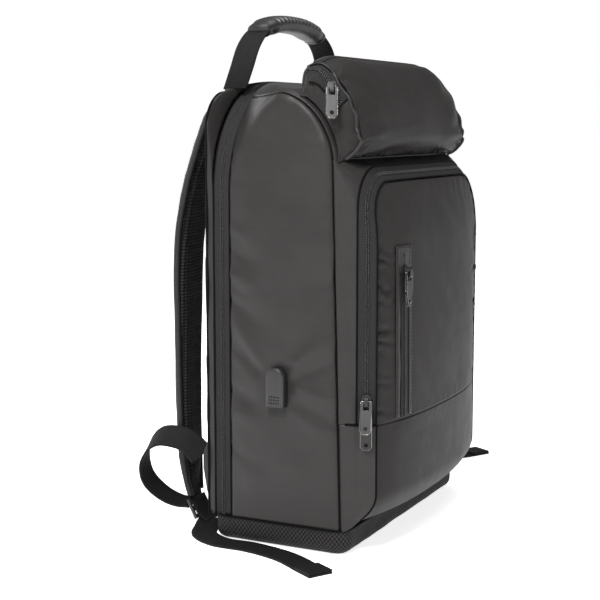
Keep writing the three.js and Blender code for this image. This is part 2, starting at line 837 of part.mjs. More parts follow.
// Where the pouch stands on the body, and the height of its zip along the roll.
const pouchFootY = pouchZipBackY + pouchZipDrop;
const bodyTopAt = (y) => archCentreZ + archDrop * Math.sqrt(1 - ((y - shoulderY) / archDepth) ** 2);
const pouchFootZ = bodyTopAt(pouchFootY) + 2 * seat;
const crestAt = (x) => pouchCrest - pouchZipDrop - pouchEndDrop * endShare(x);

function pouch() {
  const shell = (u, v) => pouchPoint(v, lerp(-pouchHalfWidth, pouchHalfWidth, u));
  const inside = V(0, pouchShellBackY, (pouchFootHeight + pouchCrest) / 2);
  add('pouch_shell', wall(shell, 14, 12, clothThickness, inside), finishes.coatedCloth);

  const back = (u, v) => {
    const x = lerp(-pouchHalfWidth, pouchHalfWidth, u);
    const top = crestAt(x) - tapeThickness - 3 * seat;
    return V(x, lerp(pouchFootY, pouchZipBackY, v), lerp(pouchFootZ, top, v));
  };
  add('pouch_back', wall(back, 14, 2, clothThickness, inside), finishes.coatedCloth);

  const tape = (u, v) => {
    const x = lerp(-pouchHalfWidth, pouchHalfWidth, u);
    const front = pouchPoint(0, x);
    const crown = pouchZipCrown * Math.sin(Math.PI * v);
    return V(x, lerp(pouchZipBackY, front.y + seat, v), lerp(crestAt(x), front.z, v) + crown);
  };
  add('pouch_zip_tape', wall(tape, 14, 2, tapeThickness, inside), finishes.zipTape);

  for (const [side, sign] of [['left', -1], ['right', 1]]) {
    add(`pouch_end_${side}`, wall(pouchEndPoint(sign), 12, 4, clothThickness, inside), finishes.coatedCloth);
  }
  const { fromU, toU, fromV, toV } = zipEnd;
  const strip = (u, v) => pouchEndStrip(lerp(fromU, toU, u), lerp(fromV, toV, v));
  add('pouch_zip_end_tape', wall(strip, 5, 2, tapeThickness, inside), finishes.zipTape);
}

function profileShare(test) {
  return profileSamples.findIndex(test) / (profileSamples.length - 1);
}
const endFrom = profileShare((p) => p.x < pouchFootY);
const endTo = profileShare((p) => p.y < pouchFootHeight - clothThickness);
const endRim = new THREE.SplineCurve([
  new THREE.Vector2(pouchFootY, pouchFootZ + clothThickness),
  new THREE.Vector2(pouchZipBackY - clothThickness / 2, crestAt(pouchHalfWidth) - pouchZipDrop),
  ...Array.from({ length: 7 }, (_, i) => pouchPoint(i / 6, pouchHalfWidth)).map((p) =>
    new THREE.Vector2(p.y + 2 * seat, p.z - 2 * seat)),
]);

// An end panel of the pouch: from the body's side seam to the end of the roll.
function pouchEndPoint(sign) {
  return (u, v) => {
    const t = lerp(endFrom, endTo, u);
    const seam = edgePoint(t, seamAngle(profile.getPoint(t).x) * 0.6, sign, clothThickness + 3 * seat);
    const rim = endRim.getPoint(u);
    const bulge = pouchEndBulge * Math.sin(Math.PI * v) * Math.sin(Math.PI * clamp(u * 1.2, 0, 1));
    return V(lerp(seam.x, sign * (pouchHalfWidth + clothThickness + seat), v) + sign * bulge,
      lerp(seam.y, rim.x, v), lerp(seam.z, rim.y, v));
  };
}

// The zip turns down over the left end. Its place is given in shares of the end panel.
const zipEnd = { fromU: 0.17, toU: 0.5, fromV: 0.5, toV: 0.97, sliderU: 0.42, sliderV: 0.7 };

function pouchEndStrip(u, v, proud = tapeThickness + 2 * seat) {
  const panel = pouchEndPoint(-1);
  const normal = surfaceNormal(panel, u, v);
  return panel(u, v).addScaledVector(normal, normal.x < 0 ? proud : -proud);
}

// Carrying handle: webbing sewn behind the zip at both ends and a moulded grip between.
const handleRoute = [
  { x: -0.5, rise: 0.0 },
  { x: -0.485, rise: 0.3 },
  { x: -0.43, rise: 0.62 },
  { x: -0.33, rise: 0.84 },
  { x: -0.17, rise: 0.97 },
  { x: 0, rise: 1.0 },
];

function backTopAt(x) {
  return backArch.top + backCrown * (1 - (x / (backArch.halfWidth - backArch.radius)) ** 2);
}

function handle() {
  const footZ = backTopAt(handleSpan / 2) + 3 * seat;
  const crownZ = handleTop - gripThickness / 2;
  const half = handleRoute.map(({ x, rise }) => [x * handleSpan,
    lerp(wearerY - handleFootSetback, handleY, Math.min(rise * 2.5, 1)), footZ + rise * (crownZ - footZ)]);
  const whole = [...half, ...half.slice(0, -1).reverse().map(([x, y, z]) => [-x, y, z])];
  const route = curveThrough(whole);
  const gripFrom = findShare(route, (p) => p.x >= -gripSpan / 2);
  const gripTo = 1 - gripFrom;
  const part = (from, to) => curveThrough(Array.from({ length: 13 }, (_, i) =>
    route.getPoint(lerp(from, to, i / 12)).toArray()));
  const width = () => V(0, 1, 0);
  add('handle_webbing_left', ribbon(part(0, gripFrom - 0.004), width, webbingWidth, webbingThickness, 12),
    finishes.webbing);
  add('handle_webbing_right', ribbon(part(gripTo + 0.004, 1), width, webbingWidth, webbingThickness, 12),
    finishes.webbing);
  const gripCurve = part(gripFrom, gripTo);
  const rings = [];
  const steps = 16;
  for (let i = 0; i <= steps; i++) {
    const t = i / steps;
    const end = Math.min(t, 1 - t);
    const fullness = lerp(0.8, 1, smoothstep(end, 0.02, 0.14));
    const along = gripCurve.getTangent(t);
    const across = V(0, 1, 0);
    const up = new THREE.Vector3().crossVectors(along, across).multiplyScalar(-1);
    const ring = [];
    for (let j = 0; j < 10; j++) {
      const angle = j / 10 * Math.PI * 2;
      const flat = Math.sign(Math.cos(angle)) * Math.abs(Math.cos(angle)) ** 0.7;
      ring.push(gripCurve.getPoint(t).addScaledVector(across, flat * gripWidth / 2 * fullness)
        .addScaledVector(up, Math.sin(angle) * gripThickness / 2 * fullness));
    }
    rings.push(ring);
  }
  add('handle_grip', loft(rings), finishes.grip);
}

function findShare(curve, test) {
  for (let i = 0; i <= 1000; i++) {
    if (test(curve.getPoint(i / 1000))) return i / 1000;
  }
  return 1;
}

// Shoulder strap. Columns: y from the back panel as a share of the strap's reach, z as a share of
// the height between the strap's foot and the top of the bag, the middle's x, width and thickness
// as shares of the full strap.
const strapRows = [
  { out: 0.089, up: 0.9703, x: 0.86, width: 0.9, thick: 0.45 },
  { out: 0.232, up: 0.948, x: 0.88, width: 0.95, thick: 0.8 },
  { out: 0.411, up: 0.9087, x: 0.9, width: 1, thick: 1 },
  { out: 0.607, up: 0.8396, x: 0.93, width: 1.05, thick: 1 },
  { out: 0.804, up: 0.7557, x: 0.97, width: 1.1, thick: 1 },
  { out: 0.946, up: 0.6601, x: 1, width: 1.12, thick: 1 },
  { out: 1, up: 0.5539, x: 1.01, width: 1.1, thick: 1 },
  { out: 1, up: 0.437, x: 1.02, width: 1.02, thick: 1 },
  { out: 1, up: 0.3202, x: 1.03, width: 0.95, thick: 1 },
  { out: 0.982, up: 0.2033, x: 1.04, width: 0.88, thick: 1 },
  { out: 0.929, up: 0.0971, x: 1.06, width: 0.8, thick: 0.95 },
  { out: 0.875, up: 0.044, x: 1.08, width: 0.68, thick: 0.85 },
  { out: 0.804, up: 0, x: 1.1, width: 0.5, thick: 0.5 },
];
const strapTwist = degToRad(strapTwistDegrees);

function strapMiddle(sign) {
  return curveThrough(strapRows.map(({ out, up, x }) => [
    sign * x * strapX,
    wearerY + out * strapReach,
    lerp(strapFoot, bodyHeight, up),
  ]));
}

function shoulderStrap(sign) {
  const path = strapMiddle(sign);
  const steps = 26;
  const rings = [];
  for (let i = 0; i <= steps; i++) {
    const t = i / steps;
    const place = t * (strapRows.length - 1);
    const row = Math.min(Math.floor(place), strapRows.length - 2);
    const share = place - row;
    const width = strapWidth * lerp(strapRows[row].width, strapRows[row + 1].width, share);
    const thick = strapThickness * lerp(strapRows[row].thick, strapRows[row + 1].thick, share);
    const along = path.getTangent(t);
    const twist = strapTwist * smoothstep(t, 0.1, 0.4);
    const across = V(-sign * Math.cos(twist), Math.sin(twist), 0);
    const up = new THREE.Vector3().crossVectors(along, across);
    const ring = [];
    for (const [a, b] of [[-1, -0.35], [-0.9, -0.85], [-0.75, -1], [0.75, -1], [0.9, -0.85], [1, -0.35],
      [1, 0.35], [0.9, 0.85], [0.75, 1], [-0.75, 1], [-0.9, 0.85], [-1, 0.35]]) {
      ring.push(path.getPoint(t).addScaledVector(across, a * width / 2).addScaledVector(up, b * thick / 2));
    }
    rings.push(ring);
  }
  return loft(rings);
}

// Wing at each lower back corner: a folded triangle of cloth that holds the lower webbing.
// Columns: y from the back panel as a share of the wing's reach, z as a share of the body height.
const wingOutline = [
  { out: 0, up: 0.056 },
  { out: 0.556, up: 0.1 },
  { out: 1, up: 0.15 },
  { out: 1, up: 0.185 },
  { out: 0.444, up: 0.212 },
  { out: 0, up: 0.224 },
];

function wing(sign) {
  const shape = new THREE.Shape(wingOutline.map(({ out, up }) =>
    new THREE.Vector2(out * wingReach, up * bodyHeight)));
  const geometry = new THREE.ExtrudeGeometry(shape, { depth: wingThickness, bevelEnabled: false });
  geometry.rotateX(Math.PI / 2);
  geometry.rotateZ(Math.PI / 2);
  const plate = welded(geometry);
  plate.translate(sign * (bodyWidth / 2 - wingInset) - wingThickness / 2, panelOuterY + seat, 0);
  return plate;
}

// Ladder lock: it hangs at the foot of the strap, where strap, loop and tail meet.
const lockX = strapRows.at(-1).x * strapX + lockAside;
const lockOut = strapRows.at(-1).out * strapReach - lockSetback;
const lockHeight = strapFoot - lockDrop;

// Lower webbing: out of the wing, round an open loop and back to the ladder lock. Columns are
// shares: across from the side of the bag to the lock, out from the lock to the loop's reach, and
// up from the lock to the top of the loop.
const loopRows = [
  { across: 0.174, out: -0.5368, up: 0.8101 },
  { across: 0.196, out: -0.2, up: 0.962 },
  { across: 0.217, out: 0.1368, up: 1 },
  { across: 0.261, out: 0.5158, up: 0.9747 },
  { across: 0.304, out: 0.7895, up: 0.8608 },
  { across: 0.348, out: 0.9579, up: 0.6962 },
  { across: 0.391, out: 1, up: 0.5316 },
  { across: 0.457, out: 0.9579, up: 0.3797 },
  { across: 0.565, out: 0.8105, up: 0.2405 },
  { across: 0.696, out: 0.6, up: 0.1266 },
  { across: 0.826, out: 0.3895, up: 0.0633 },
  { across: 0.935, out: 0.2084, up: 0.038 },
];

const loopRoute = (sign) => curveThrough(loopRows.map(({ across, out, up }) => [
  sign * lerp(bodyWidth / 2, lockX, across),
  wearerY + lerp(lockOut, loopReach, out),
  lerp(lockHeight, loopTop, up),
]));

// The tail lies on the floor from the ladder lock to its folded tip beyond the front. Columns are
// shares of the way from the lock to the tip, sideways and forwards, and of the rise at the lock.
const tailLift = webbingThickness / 2 + seat;
const tailTips = { left: { x: leftTailX, y: leftTailY }, right: { x: rightTailX, y: rightTailY } };
const tailRows = {
  left: [
    { aside: 0.02, ahead: 0.078, up: 1 },
    { aside: 0.206, ahead: 0.11, up: 0 },
    { aside: 0.431, ahead: 0.169, up: 0 },
    { aside: 0.578, ahead: 0.303, up: 0 },
    { aside: 0.588, ahead: 0.496, up: 0 },
    { aside: 0.696, ahead: 0.721, up: 0 },
    { aside: 0.902, ahead: 0.909, up: 0 },
    { aside: 1, ahead: 1, up: 0 },
  ],
  right: [
    { aside: 0.01, ahead: 0.087, up: 1 },
    { aside: 0.136, ahead: 0.117, up: 0 },
    { aside: 0.276, ahead: 0.207, up: 0 },
    { aside: 0.437, ahead: 0.411, up: 0 },
    { aside: 0.628, ahead: 0.652, up: 0 },
    { aside: 0.819, ahead: 0.868, up: 0 },
    { aside: 1, ahead: 1, up: 0 },
  ],
};

function carrying() {
  for (const [side, sign] of [['left', -1], ['right', 1]]) {
    add(`shoulder_strap_${side}`, shoulderStrap(sign), finishes.airMesh);
    add(`wing_${side}`, wing(sign), finishes.coatedCloth);
    const slope = (t) => V(-sign * lerp(0.6, 1, t), 0.12, lerp(0.8, 0.08, t));
    add(`lower_webbing_${side}`, ribbon(loopRoute(sign), slope, webbingWidth, webbingThickness, 26),
      finishes.webbing);
    const tip = tailTips[side];
    const tail = curveThrough(tailRows[side].map(({ aside, ahead, up }) => [
      sign * lerp(lockX, tip.x, aside),
      lerp(wearerY + lockOut, tip.y, ahead),
      tailLift + up * tailRise,
    ]));
    add(`tail_webbing_${side}`, ribbon(tail, (t) => flatAcross(tail, t), webbingWidth, webbingThickness, 18),
      finishes.webbing);
    add(`ladder_lock_${side}`, ladderLock(sign), finishes.plastic);
  }
}

// The level direction across a strap that lies on the floor.
function flatAcross(curve, t) {
  const along = curve.getTangent(t);
  return V(-along.y, along.x, 0);
}

// The ladder lock is a frame with three bars.
function ladderLock(sign) {
  const frame = new THREE.Shape();
  const width = webbingWidth + 2 * lockRail;
  const slotHalf = webbingWidth / 2 + 2 * seat;
  frame.moveTo(-width / 2, -lockLength / 2);
  frame.lineTo(width / 2, -lockLength / 2);
  frame.lineTo(width / 2, lockLength / 2);
  frame.lineTo(-width / 2, lockLength / 2);
  frame.closePath();
  const bar = (lockLength - 2 * lockSlot) / 3.45;
  for (const low of [-lockLength / 2 + bar, lockLength / 2 - bar - lockSlot]) {
    frame.holes.push(rectangle(slotHalf, low, low + lockSlot));
  }
  const geometry = new THREE.ExtrudeGeometry(frame, { depth: lockThickness, bevelEnabled: false });
  geometry.translate(0, 0, -lockThickness / 2);
  geometry.rotateX(degToRad(lockTilt));
  const plate = welded(geometry);
  plate.translate(sign * lockX, wearerY + lockOut, lockHeight);
  return plate;
}

// USB port housing on the left side.
function usbHousing() {
  const base = -halfWidthAt(usbY, usbHeight) - 2 * seat;
  const rings = [[0, 0], [0.6, 0], [0.9, 0.27], [1, 0.6]].map(([rise, pull]) => {
    const ring = [];
    for (let i = 0; i < 16; i++) {
      const angle = (i + 0.5) / 16 * Math.PI * 2;
      const cy = Math.cos(angle);
      const cz = Math.sin(angle);
      ring.push(V(base - usbDepth * rise * (cz > 0 ? 0.9 : 1),
        usbY + Math.sign(cy) * (usbWidth / 2 - usbCorner) + cy * usbCorner * (1 - pull),
        usbHeight + Math.sign(cz) * (usbLength / 2 - usbCorner) + cz * usbCorner * (1 - pull)));
    }
    return ring;
  });
  add('usb_port_housing', loft(rings), finishes.plastic);
}

// Slider: a plate with a bridge over it. It lies in its own frame with the zip along Z, its
// front towards -Y and the middle of the tunnel at the origin.
const tunnelOut = sliderPlate + tunnelHeight / 2;

function sliderGeometry() {
  const plate = new THREE.Shape();
  const halfL = sliderLength / 2;
  const halfW = sliderWidth / 2;
  plate.moveTo(-halfW, halfL - sliderNose);
  plate.lineTo(-halfW + sliderNose, halfL);
  plate.lineTo(halfW - sliderNose, halfL);
  plate.lineTo(halfW, halfL - sliderNose);
  plate.lineTo(halfW - sliderTaper, -halfL);
  plate.lineTo(-halfW + sliderTaper, -halfL);
  plate.closePath();
  const slab = new THREE.ExtrudeGeometry(plate, { depth: sliderPlate, bevelEnabled: false });
  slab.rotateX(Math.PI / 2);
  slab.translate(0, tunnelOut, 0);
  const reach = tunnelLength / 2 + bridgeThickness;
  const rise = tunnelHeight + bridgeThickness;
  const side = new THREE.Shape();
  side.moveTo(-reach, -bridgeSunk);
  side.lineTo(-reach, rise - bridgeChamfer);
  side.lineTo(-reach + bridgeChamfer, rise);
  side.lineTo(reach - bridgeChamfer, rise);
  side.lineTo(reach, rise - bridgeChamfer);
  side.lineTo(reach, -bridgeSunk);
  side.closePath();
  side.holes.push(rectangle(tunnelLength / 2, 0, tunnelHeight));
  const bridge = new THREE.ExtrudeGeometry(side, { depth: bridgeWidth, bevelEnabled: false });
  bridge.translate(0, 0, -bridgeWidth / 2);
  bridge.applyMatrix4(new THREE.Matrix4().makeBasis(V(0, 0, 1), V(0, -1, 0), V(1, 0, 0)));
  bridge.translate(0, tunnelHeight / 2, 0);
  return fromSolid(solid(slab).add(solid(bridge)));
}

// Puller: a flat loop hanging from a crossbar in the tunnel, which is the origin.
const headWindow = tunnelLength / 2 + bridgeThickness + pullerSwingGap;
const bar = pullerThickness / 2;

function pullerShape(width, length) {
  const half = width / 2;
  const shape = new THREE.Shape();
  shape.moveTo(-half + pullerShoulder, bar);
  shape.lineTo(half - pullerShoulder, bar);
  shape.lineTo(half, bar - pullerShoulder);
  shape.lineTo(half, -length + pullerTip);
  shape.lineTo(half - pullerTip, -length);
  shape.lineTo(-half + pullerTip, -length);
  shape.lineTo(-half, -length + pullerTip);
  shape.lineTo(-half, bar - pullerShoulder);
  shape.closePath();
  return shape;
}

function rectangle(halfWidth, low, high) {
  const hole = new THREE.Path();
  hole.moveTo(-halfWidth, low);
  hole.lineTo(halfWidth, low);
  hole.lineTo(halfWidth, high);
  hole.lineTo(-halfWidth, high);
  hole.closePath();
  return hole;
}

function loopPuller() {
  const shape = pullerShape(pullerWidth, pullerLength);
  const opening = pullerWidth / 2 - pullerRail;
  shape.holes.push(rectangle(opening, -headWindow - bar, -bar));
  const hole = new THREE.Path();
  hole.absarc(0, -pullerLength + pullerWidth / 2, pullerHole / 2, 0, Math.PI * 2);
  shape.holes.push(hole);
  return standing(shape);
}

function leafPuller() {
  const shape = new THREE.Shape();
  const half = pullerWidth / 2;
  const swell = half + leafSwell;
  const waist = -leafPullerLength * 0.6;
  const tip = leafTip / 2;
  shape.moveTo(-half + pullerShoulder, bar);
  shape.lineTo(half - pullerShoulder, bar);
  shape.lineTo(half, bar - pullerShoulder);
  shape.lineTo(half, -headWindow);
  shape.quadraticCurveTo(swell, waist, tip, -leafPullerLength);
  shape.lineTo(-tip, -leafPullerLength);
  shape.quadraticCurveTo(-swell, waist, -half, -headWindow);
  shape.lineTo(-half, bar - pullerShoulder);
  shape.closePath();
  const slotFoot = -leafPullerLength + leafSlotRise;
  shape.holes.push(rectangle(half - pullerRail, -headWindow - bar, -bar));
  shape.holes.push(rectangle(leafSlotWidth / 2, slotFoot, slotFoot + leafSlotLength));
  return standing(shape);
}

function standing(shape) {
  const geometry = new THREE.ExtrudeGeometry(shape, { depth: pullerThickness, bevelEnabled: false,
    curveSegments: 5 });
  geometry.rotateX(Math.PI / 2);
  geometry.translate(0, pullerThickness / 2, 0);
  return welded(geometry);
}

// Each slider sits on its tape at a place with an outward direction. Its puller hangs from the
// tunnel and leans out by an angle where something lies under it.
function zipSlider(name, place, outward, make, lean = 0) {
  const out = outward.clone().normalize();
  const inward = out.clone().negate();
  const upward = V(0, 0, 1).addScaledVector(out, -out.z).normalize();
  const holder = new THREE.Group();
  holder.quaternion.setFromRotationMatrix(new THREE.Matrix4().makeBasis(
    new THREE.Vector3().crossVectors(inward, upward), inward, upward));
  holder.position.copy(place).addScaledVector(out, tunnelOut + seat);
  bag.add(holder);
  add(`${name}_slider`, sliderGeometry(), finishes.metal, holder);
  const puller = add(`${name}_puller`, make(), finishes.metal, holder);
  puller.rotation.x = -degToRad(lean);
}

function sliders() {
  const bandOut = V(pocketFaceY - pocketZipY, pocketFaceHalfWidth - pocketZipHalfWidth, 0);
  const bandX = -(pocketZipHalfWidth + pocketFaceHalfWidth) / 2;
  const bandY = (pocketZipY + pocketFaceY) / 2;
  const bandMiddle = (z) => V(bandX, bandY, z);
  const lowerZ = pocketSeamHeight + (sliderLength + sliderSpacing) / 2;
  const upperZ = lowerZ + sliderLength + sliderSpacing;
  zipSlider('pocket_upper', bandMiddle(upperZ), bandOut, loopPuller, upperPullerLean);
  zipSlider('pocket_lower', bandMiddle(lowerZ), bandOut, loopPuller);
  const weltZ = weltTop - weltSliderDrop;
  const tapeTop = seat + tapeThickness;
  const faceOut = surfaceNormal((u, v) => onFace(weltX + v, weltZ + u, tapeTop), 0.5, 0.5);
  if (faceOut.y > 0) faceOut.negate();
  zipSlider('welt', onFace(weltX, weltZ, tapeTop + seat), faceOut, leafPuller);
  const { sliderU, sliderV } = zipEnd;
  const onStrip = pouchEndStrip(sliderU, sliderV, tapeThickness + 4 * seat);
  const stripOut = surfaceNormal(pouchEndPoint(-1), sliderU, sliderV);
  if (stripOut.x > 0) stripOut.negate();
  zipSlider('pouch', onStrip, stripOut, loopPuller, pouchPullerLean);
}

// The main zip's slider hangs on the hidden right side, with its pull in one piece.
function mainSlider() {
  const z = bodyHeight * 0.45;
  const out = mainZipArch.halfWidth + coilProud + seat;
  const proud = sliderPlate + mainPullProud;
  const plate = new THREE.Shape();
  plate.moveTo(0, 0);
  plate.lineTo(sliderPlate, 0);
  plate.lineTo(proud, -mainPullStep);
  plate.lineTo(proud, -pullerLength);
  plate.lineTo(sliderPlate, -pullerLength);
  plate.lineTo(sliderPlate, -sliderLength);
  plate.lineTo(0, -sliderLength);
  plate.closePath();
  const geometry = new THREE.ExtrudeGeometry(plate, { depth: sliderWidth, bevelEnabled: false });
  geometry.rotateX(Math.PI / 2);
  const slider = add('main_zip_slider', welded(geometry), finishes.metal);
  slider.position.set(out, zipFrontY + (zipBandWidth + sliderWidth) / 2, z);
}

mainCompartment();
mainZip();
wearerSide();
backPads();
baseTray();
pocketGusset();
pocketFace();
weltPocket();
pouch();
handle();
carrying();
usbHousing();
sliders();
mainSlider();

export default bag;
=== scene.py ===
"""Dresses a laptop backpack over its frame: cloth, padding, zips, webbing and trim."""

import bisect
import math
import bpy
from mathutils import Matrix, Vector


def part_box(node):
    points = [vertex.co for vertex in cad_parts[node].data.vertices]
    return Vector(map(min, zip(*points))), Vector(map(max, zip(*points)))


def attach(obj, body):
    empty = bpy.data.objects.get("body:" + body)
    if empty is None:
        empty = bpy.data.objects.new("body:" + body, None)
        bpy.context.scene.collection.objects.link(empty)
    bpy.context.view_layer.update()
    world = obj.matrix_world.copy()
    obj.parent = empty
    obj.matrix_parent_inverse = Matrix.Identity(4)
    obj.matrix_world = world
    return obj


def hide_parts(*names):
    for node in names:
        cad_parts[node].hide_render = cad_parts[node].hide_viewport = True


bl_info = {
    "name": "Laptop backpack",
    "version": (1, 0, 0),
    "blender": (4, 5, 0),
    "location": "3D View > Sidebar > Backpack",
    "description": "Builds the cloth, padding, zips and trim of a laptop backpack over its frame",
    "category": "Object",
}

import bmesh
import bpy
from mathutils import Matrix, Vector, noise

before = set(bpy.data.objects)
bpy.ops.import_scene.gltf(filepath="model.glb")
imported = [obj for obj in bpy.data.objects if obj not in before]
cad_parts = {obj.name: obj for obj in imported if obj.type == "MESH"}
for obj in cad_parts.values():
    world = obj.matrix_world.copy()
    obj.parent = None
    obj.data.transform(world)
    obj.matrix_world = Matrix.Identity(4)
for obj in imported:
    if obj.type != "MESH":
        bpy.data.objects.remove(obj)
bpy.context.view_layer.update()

MM = 0.001
SAME_PLACE = 0.02 * MM
FLAT_ANGLE = math.radians(2)
SHARP_ANGLE = math.radians(25)
SIDES = (("left", -1), ("right", 1))


def edge_of(node, axis, high):
    """A side of a node's box in millimetres."""
    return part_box(node)[1 if high else 0][axis] / MM


# Sizes in millimetres, read from the frame where it shows them.
SEAT = 0.3
CLOTH = 2.0
TAPE = 1.4
WEBBING = 2.0
WEBBING_WIDTH = 25.0
PIPING = 3.0
HALF_WIDTH = edge_of("base_tray", 0, True)
BODY_TOP = edge_of("back_rim", 2, True)
ZIP_FRONT = edge_of("main_zip_front_tape", 1, False) - SEAT
PANEL_FOOT = edge_of("side_panel_left", 2, False)
BAND = 17.0
COIL = 4.0
WEARER = edge_of("back_panel", 1, False) - SEAT
WALL_TOP_Y = -62.0
WALL_FOOT_Y = -70.0
SHOULDER_Y = 5.0
ARCH_DROP = 76.0
ARCH_Z = BODY_TOP - 8.0 - ARCH_DROP
FRONT_RADIUS = 12.0
ZIP_RADIUS = 105.0
SIDE_BULGE = 7.0
BACK_RADIUS = 36.0
BACK_CROWN = 12.0
BASE_TOP = edge_of("base_tray", 2, True)
BASE_FRONT = edge_of("base_tray", 1, False)
BASE_BACK = edge_of("base_tray", 1, True)
POCKET_TOP = BODY_TOP - 81.0
ROOT_TOP = POCKET_TOP + 6.0
FACE_TOP = POCKET_TOP - 13.0
ZIP_HALF = HALF_WIDTH - 7.0
FACE_HALF = ZIP_HALF - 6.0
POCKET_ZIP_Y = WALL_FOOT_Y - 10.0
POCKET_FACE_Y = POCKET_ZIP_Y - 17.0
POCKET_RADIUS = 40.0
POCKET_SEAM = edge_of("pocket_gusset", 2, False)
POCKET_FOOT = BASE_TOP + 10.0
POCKET_BULGE = 17.0
WELT_X = -93.0
WELT_WIDTH = 27.0
WELT_TOP = FACE_TOP - 60.0
WELT_ZIP = 13.0
POUCH_HALF = HALF_WIDTH - 15.0
POUCH_CREST = BODY_TOP + 20.0
POUCH_FOOT = ARCH_Z + 11.0
POUCH_BACK_Y = SHOULDER_Y - 30.0
POUCH_ZIP = 15.0
STRAP_X = HALF_WIDTH - 57.0
STRAP_REACH = 56.0
STRAP_FOOT = 26.0
HANDLE_SPAN = HALF_WIDTH * 4 / 3
HANDLE_Y = WEARER - 11.0
HANDLE_TOP = BODY_TOP + 67.0
USB_Y = -5.0
USB_Z = 156.0
MIDDLE = Vector((0, 0, BODY_TOP / 2))
FORWARD = Vector((0, -1, 0))
UP = Vector((0, 0, 1))
# The share of the slit beside the piping that the turned edges of the cloth leave open.
SEAM_TUCK = 0.05


def lerp(a, b, share):
    return a + (b - a) * share


def clamp(value, low=0.0, high=1.0):
    return min(max(value, low), high)


def smooth(value, low, high):
    share = clamp((value - low) / (high - low))
    return share * share * (3 - 2 * share)


def even(count):
    """Even shares from nought to one."""
    return [i / count for i in range(count + 1)]


class Route:
    """A line through points in millimetres, followed by shares of its length."""

    def __init__(self, points):
        self.points = [Vector(p) for p in points]
        self.run = [0.0]
        for a, b in zip(self.points, self.points[1:]):
            self.run.append(self.run[-1] + (b - a).length)
        self.length = self.run[-1]

    def at(self, share):
        distance = clamp(share) * self.length
        i = min(max(bisect.bisect_right(self.run, distance) - 1, 0), len(self.points) - 2)
        part = self.run[i + 1] - self.run[i]
        within = (distance - self.run[i]) / part if part else 0.0
        return self.points[i].lerp(self.points[i + 1], within)

    def along(self, share, step=0.004):
        return (self.at(share + step) - self.at(share - step)).normalized()


def knot(points, i):
    """A point of a list, carried on past either end."""
    if i < 0:
        return points[0] * 2 - points[1]
    if i >= len(points):
        return points[-1] * 2 - points[-2]
    return points[i]


def smooth_point(points, share):
    """A point of the smooth curve through points, at an even share of its spans."""
    place = clamp(share) * (len(points) - 1)
    i = min(int(place), len(points) - 2)
    w = place - i
    p0, p1, p2, p3 = (knot(points, i + k) for k in (-1, 0, 1, 2))
    d0, d1, d2 = (max((b - a).length_squared ** 0.25, 1e-4) for a, b in ((p0, p1), (p1, p2), (p2, p3)))
    t1 = ((p1 - p0) / d0 - (p2 - p0) / (d0 + d1) + (p2 - p1) / d1) * d1
    t2 = ((p2 - p1) / d1 - (p3 - p1) / (d1 + d2) + (p3 - p2) / d2) * d1
    return p1 + t1 * w + (p2 * 3 - p1 * 3 - t1 * 2 - t2) * w**2 + (p1 * 2 - p2 * 2 + t1 + t2) * w**3


def smooth_route(points, count=160):
    given = [Vector(p) for p in points]
    return Route([smooth_point(given, share) for share in even(count)])


# The side view of the main compartment: over the shoulder, round the arch, down the front.
PROFILE = Route(
    [(0, ZIP_FRONT - 3 * SEAT, BODY_TOP), (0, SHOULDER_Y, ARCH_Z + ARCH_DROP)]
    + [
        (0, SHOULDER_Y + (SHOULDER_Y - WALL_TOP_Y) * math.cos(a), ARCH_Z + ARCH_DROP * math.sin(a))
        for a in (math.radians(90 + 90 * i / 60) for i in range(1, 61))
    ]
    + [(0, WALL_FOOT_Y, PANEL_FOOT)]
)


def inward(t):
    along = PROFILE.along(t)
    return Vector((0, -along.z, along.y))


def edge_radius(y):
    start = SHOULDER_Y - 15
    share = clamp((y - start) / (ZIP_FRONT - start))
    return FRONT_RADIUS + (ZIP_RADIUS - FRONT_RADIUS) * share**1.6


def seam_angle(y):
    radius = edge_radius(y)
    depth = radius * lerp(0.33, 0.11, clamp((radius - FRONT_RADIUS) / ZIP_RADIUS))
    return math.acos(1 - depth / radius)


def slit_angle(t):
    ends = [PROFILE.at(clamp(t + d)) for d in (-0.01, 0.01)]
    xs = [edge_radius(p.y) * (1 - math.sin(seam_angle(p.y))) for p in ends]
    slant = (xs[0] - xs[1]) / (ends[1] - ends[0]).length
    return (PIPING / 2 + 3 * SEAT) * math.hypot(1, slant) / edge_radius(PROFILE.at(t).y)


def edge_point(t, angle, sign, proud=0.0):
    """A point of the rounding between the top sheet and a side panel."""
    p = PROFILE.at(t)
    radius = edge_radius(p.y)
    inset = radius * (1 - math.cos(angle)) - proud * math.cos(angle)
    x = HALF_WIDTH - radius + (radius + proud) * math.sin(angle)
    return Vector((sign * x, p.y, p.z)) + inward(t) * inset


MARKS = 240
PROFILE_MARKS = [PROFILE.at(share) for share in even(MARKS)]


def half_width_at(y, z):
    radius = edge_radius(y)
    depth = min(min(math.hypot(p.y - y, p.z - z) for p in PROFILE_MARKS), radius)
    rounding = radius - math.sqrt(max(radius**2 - (radius - depth) ** 2, 0))
    reach = (ZIP_FRONT - WALL_TOP_Y) / 2
    across = 1 - ((y - (ZIP_FRONT + WALL_TOP_Y) / 2) / reach) ** 2
    upward = smooth(z, BASE_TOP, BASE_TOP + 60) * (1 - smooth(z, ARCH_Z - 40, BODY_TOP - 20))
    return HALF_WIDTH - rounding + SIDE_BULGE * max(across, 0) * upward


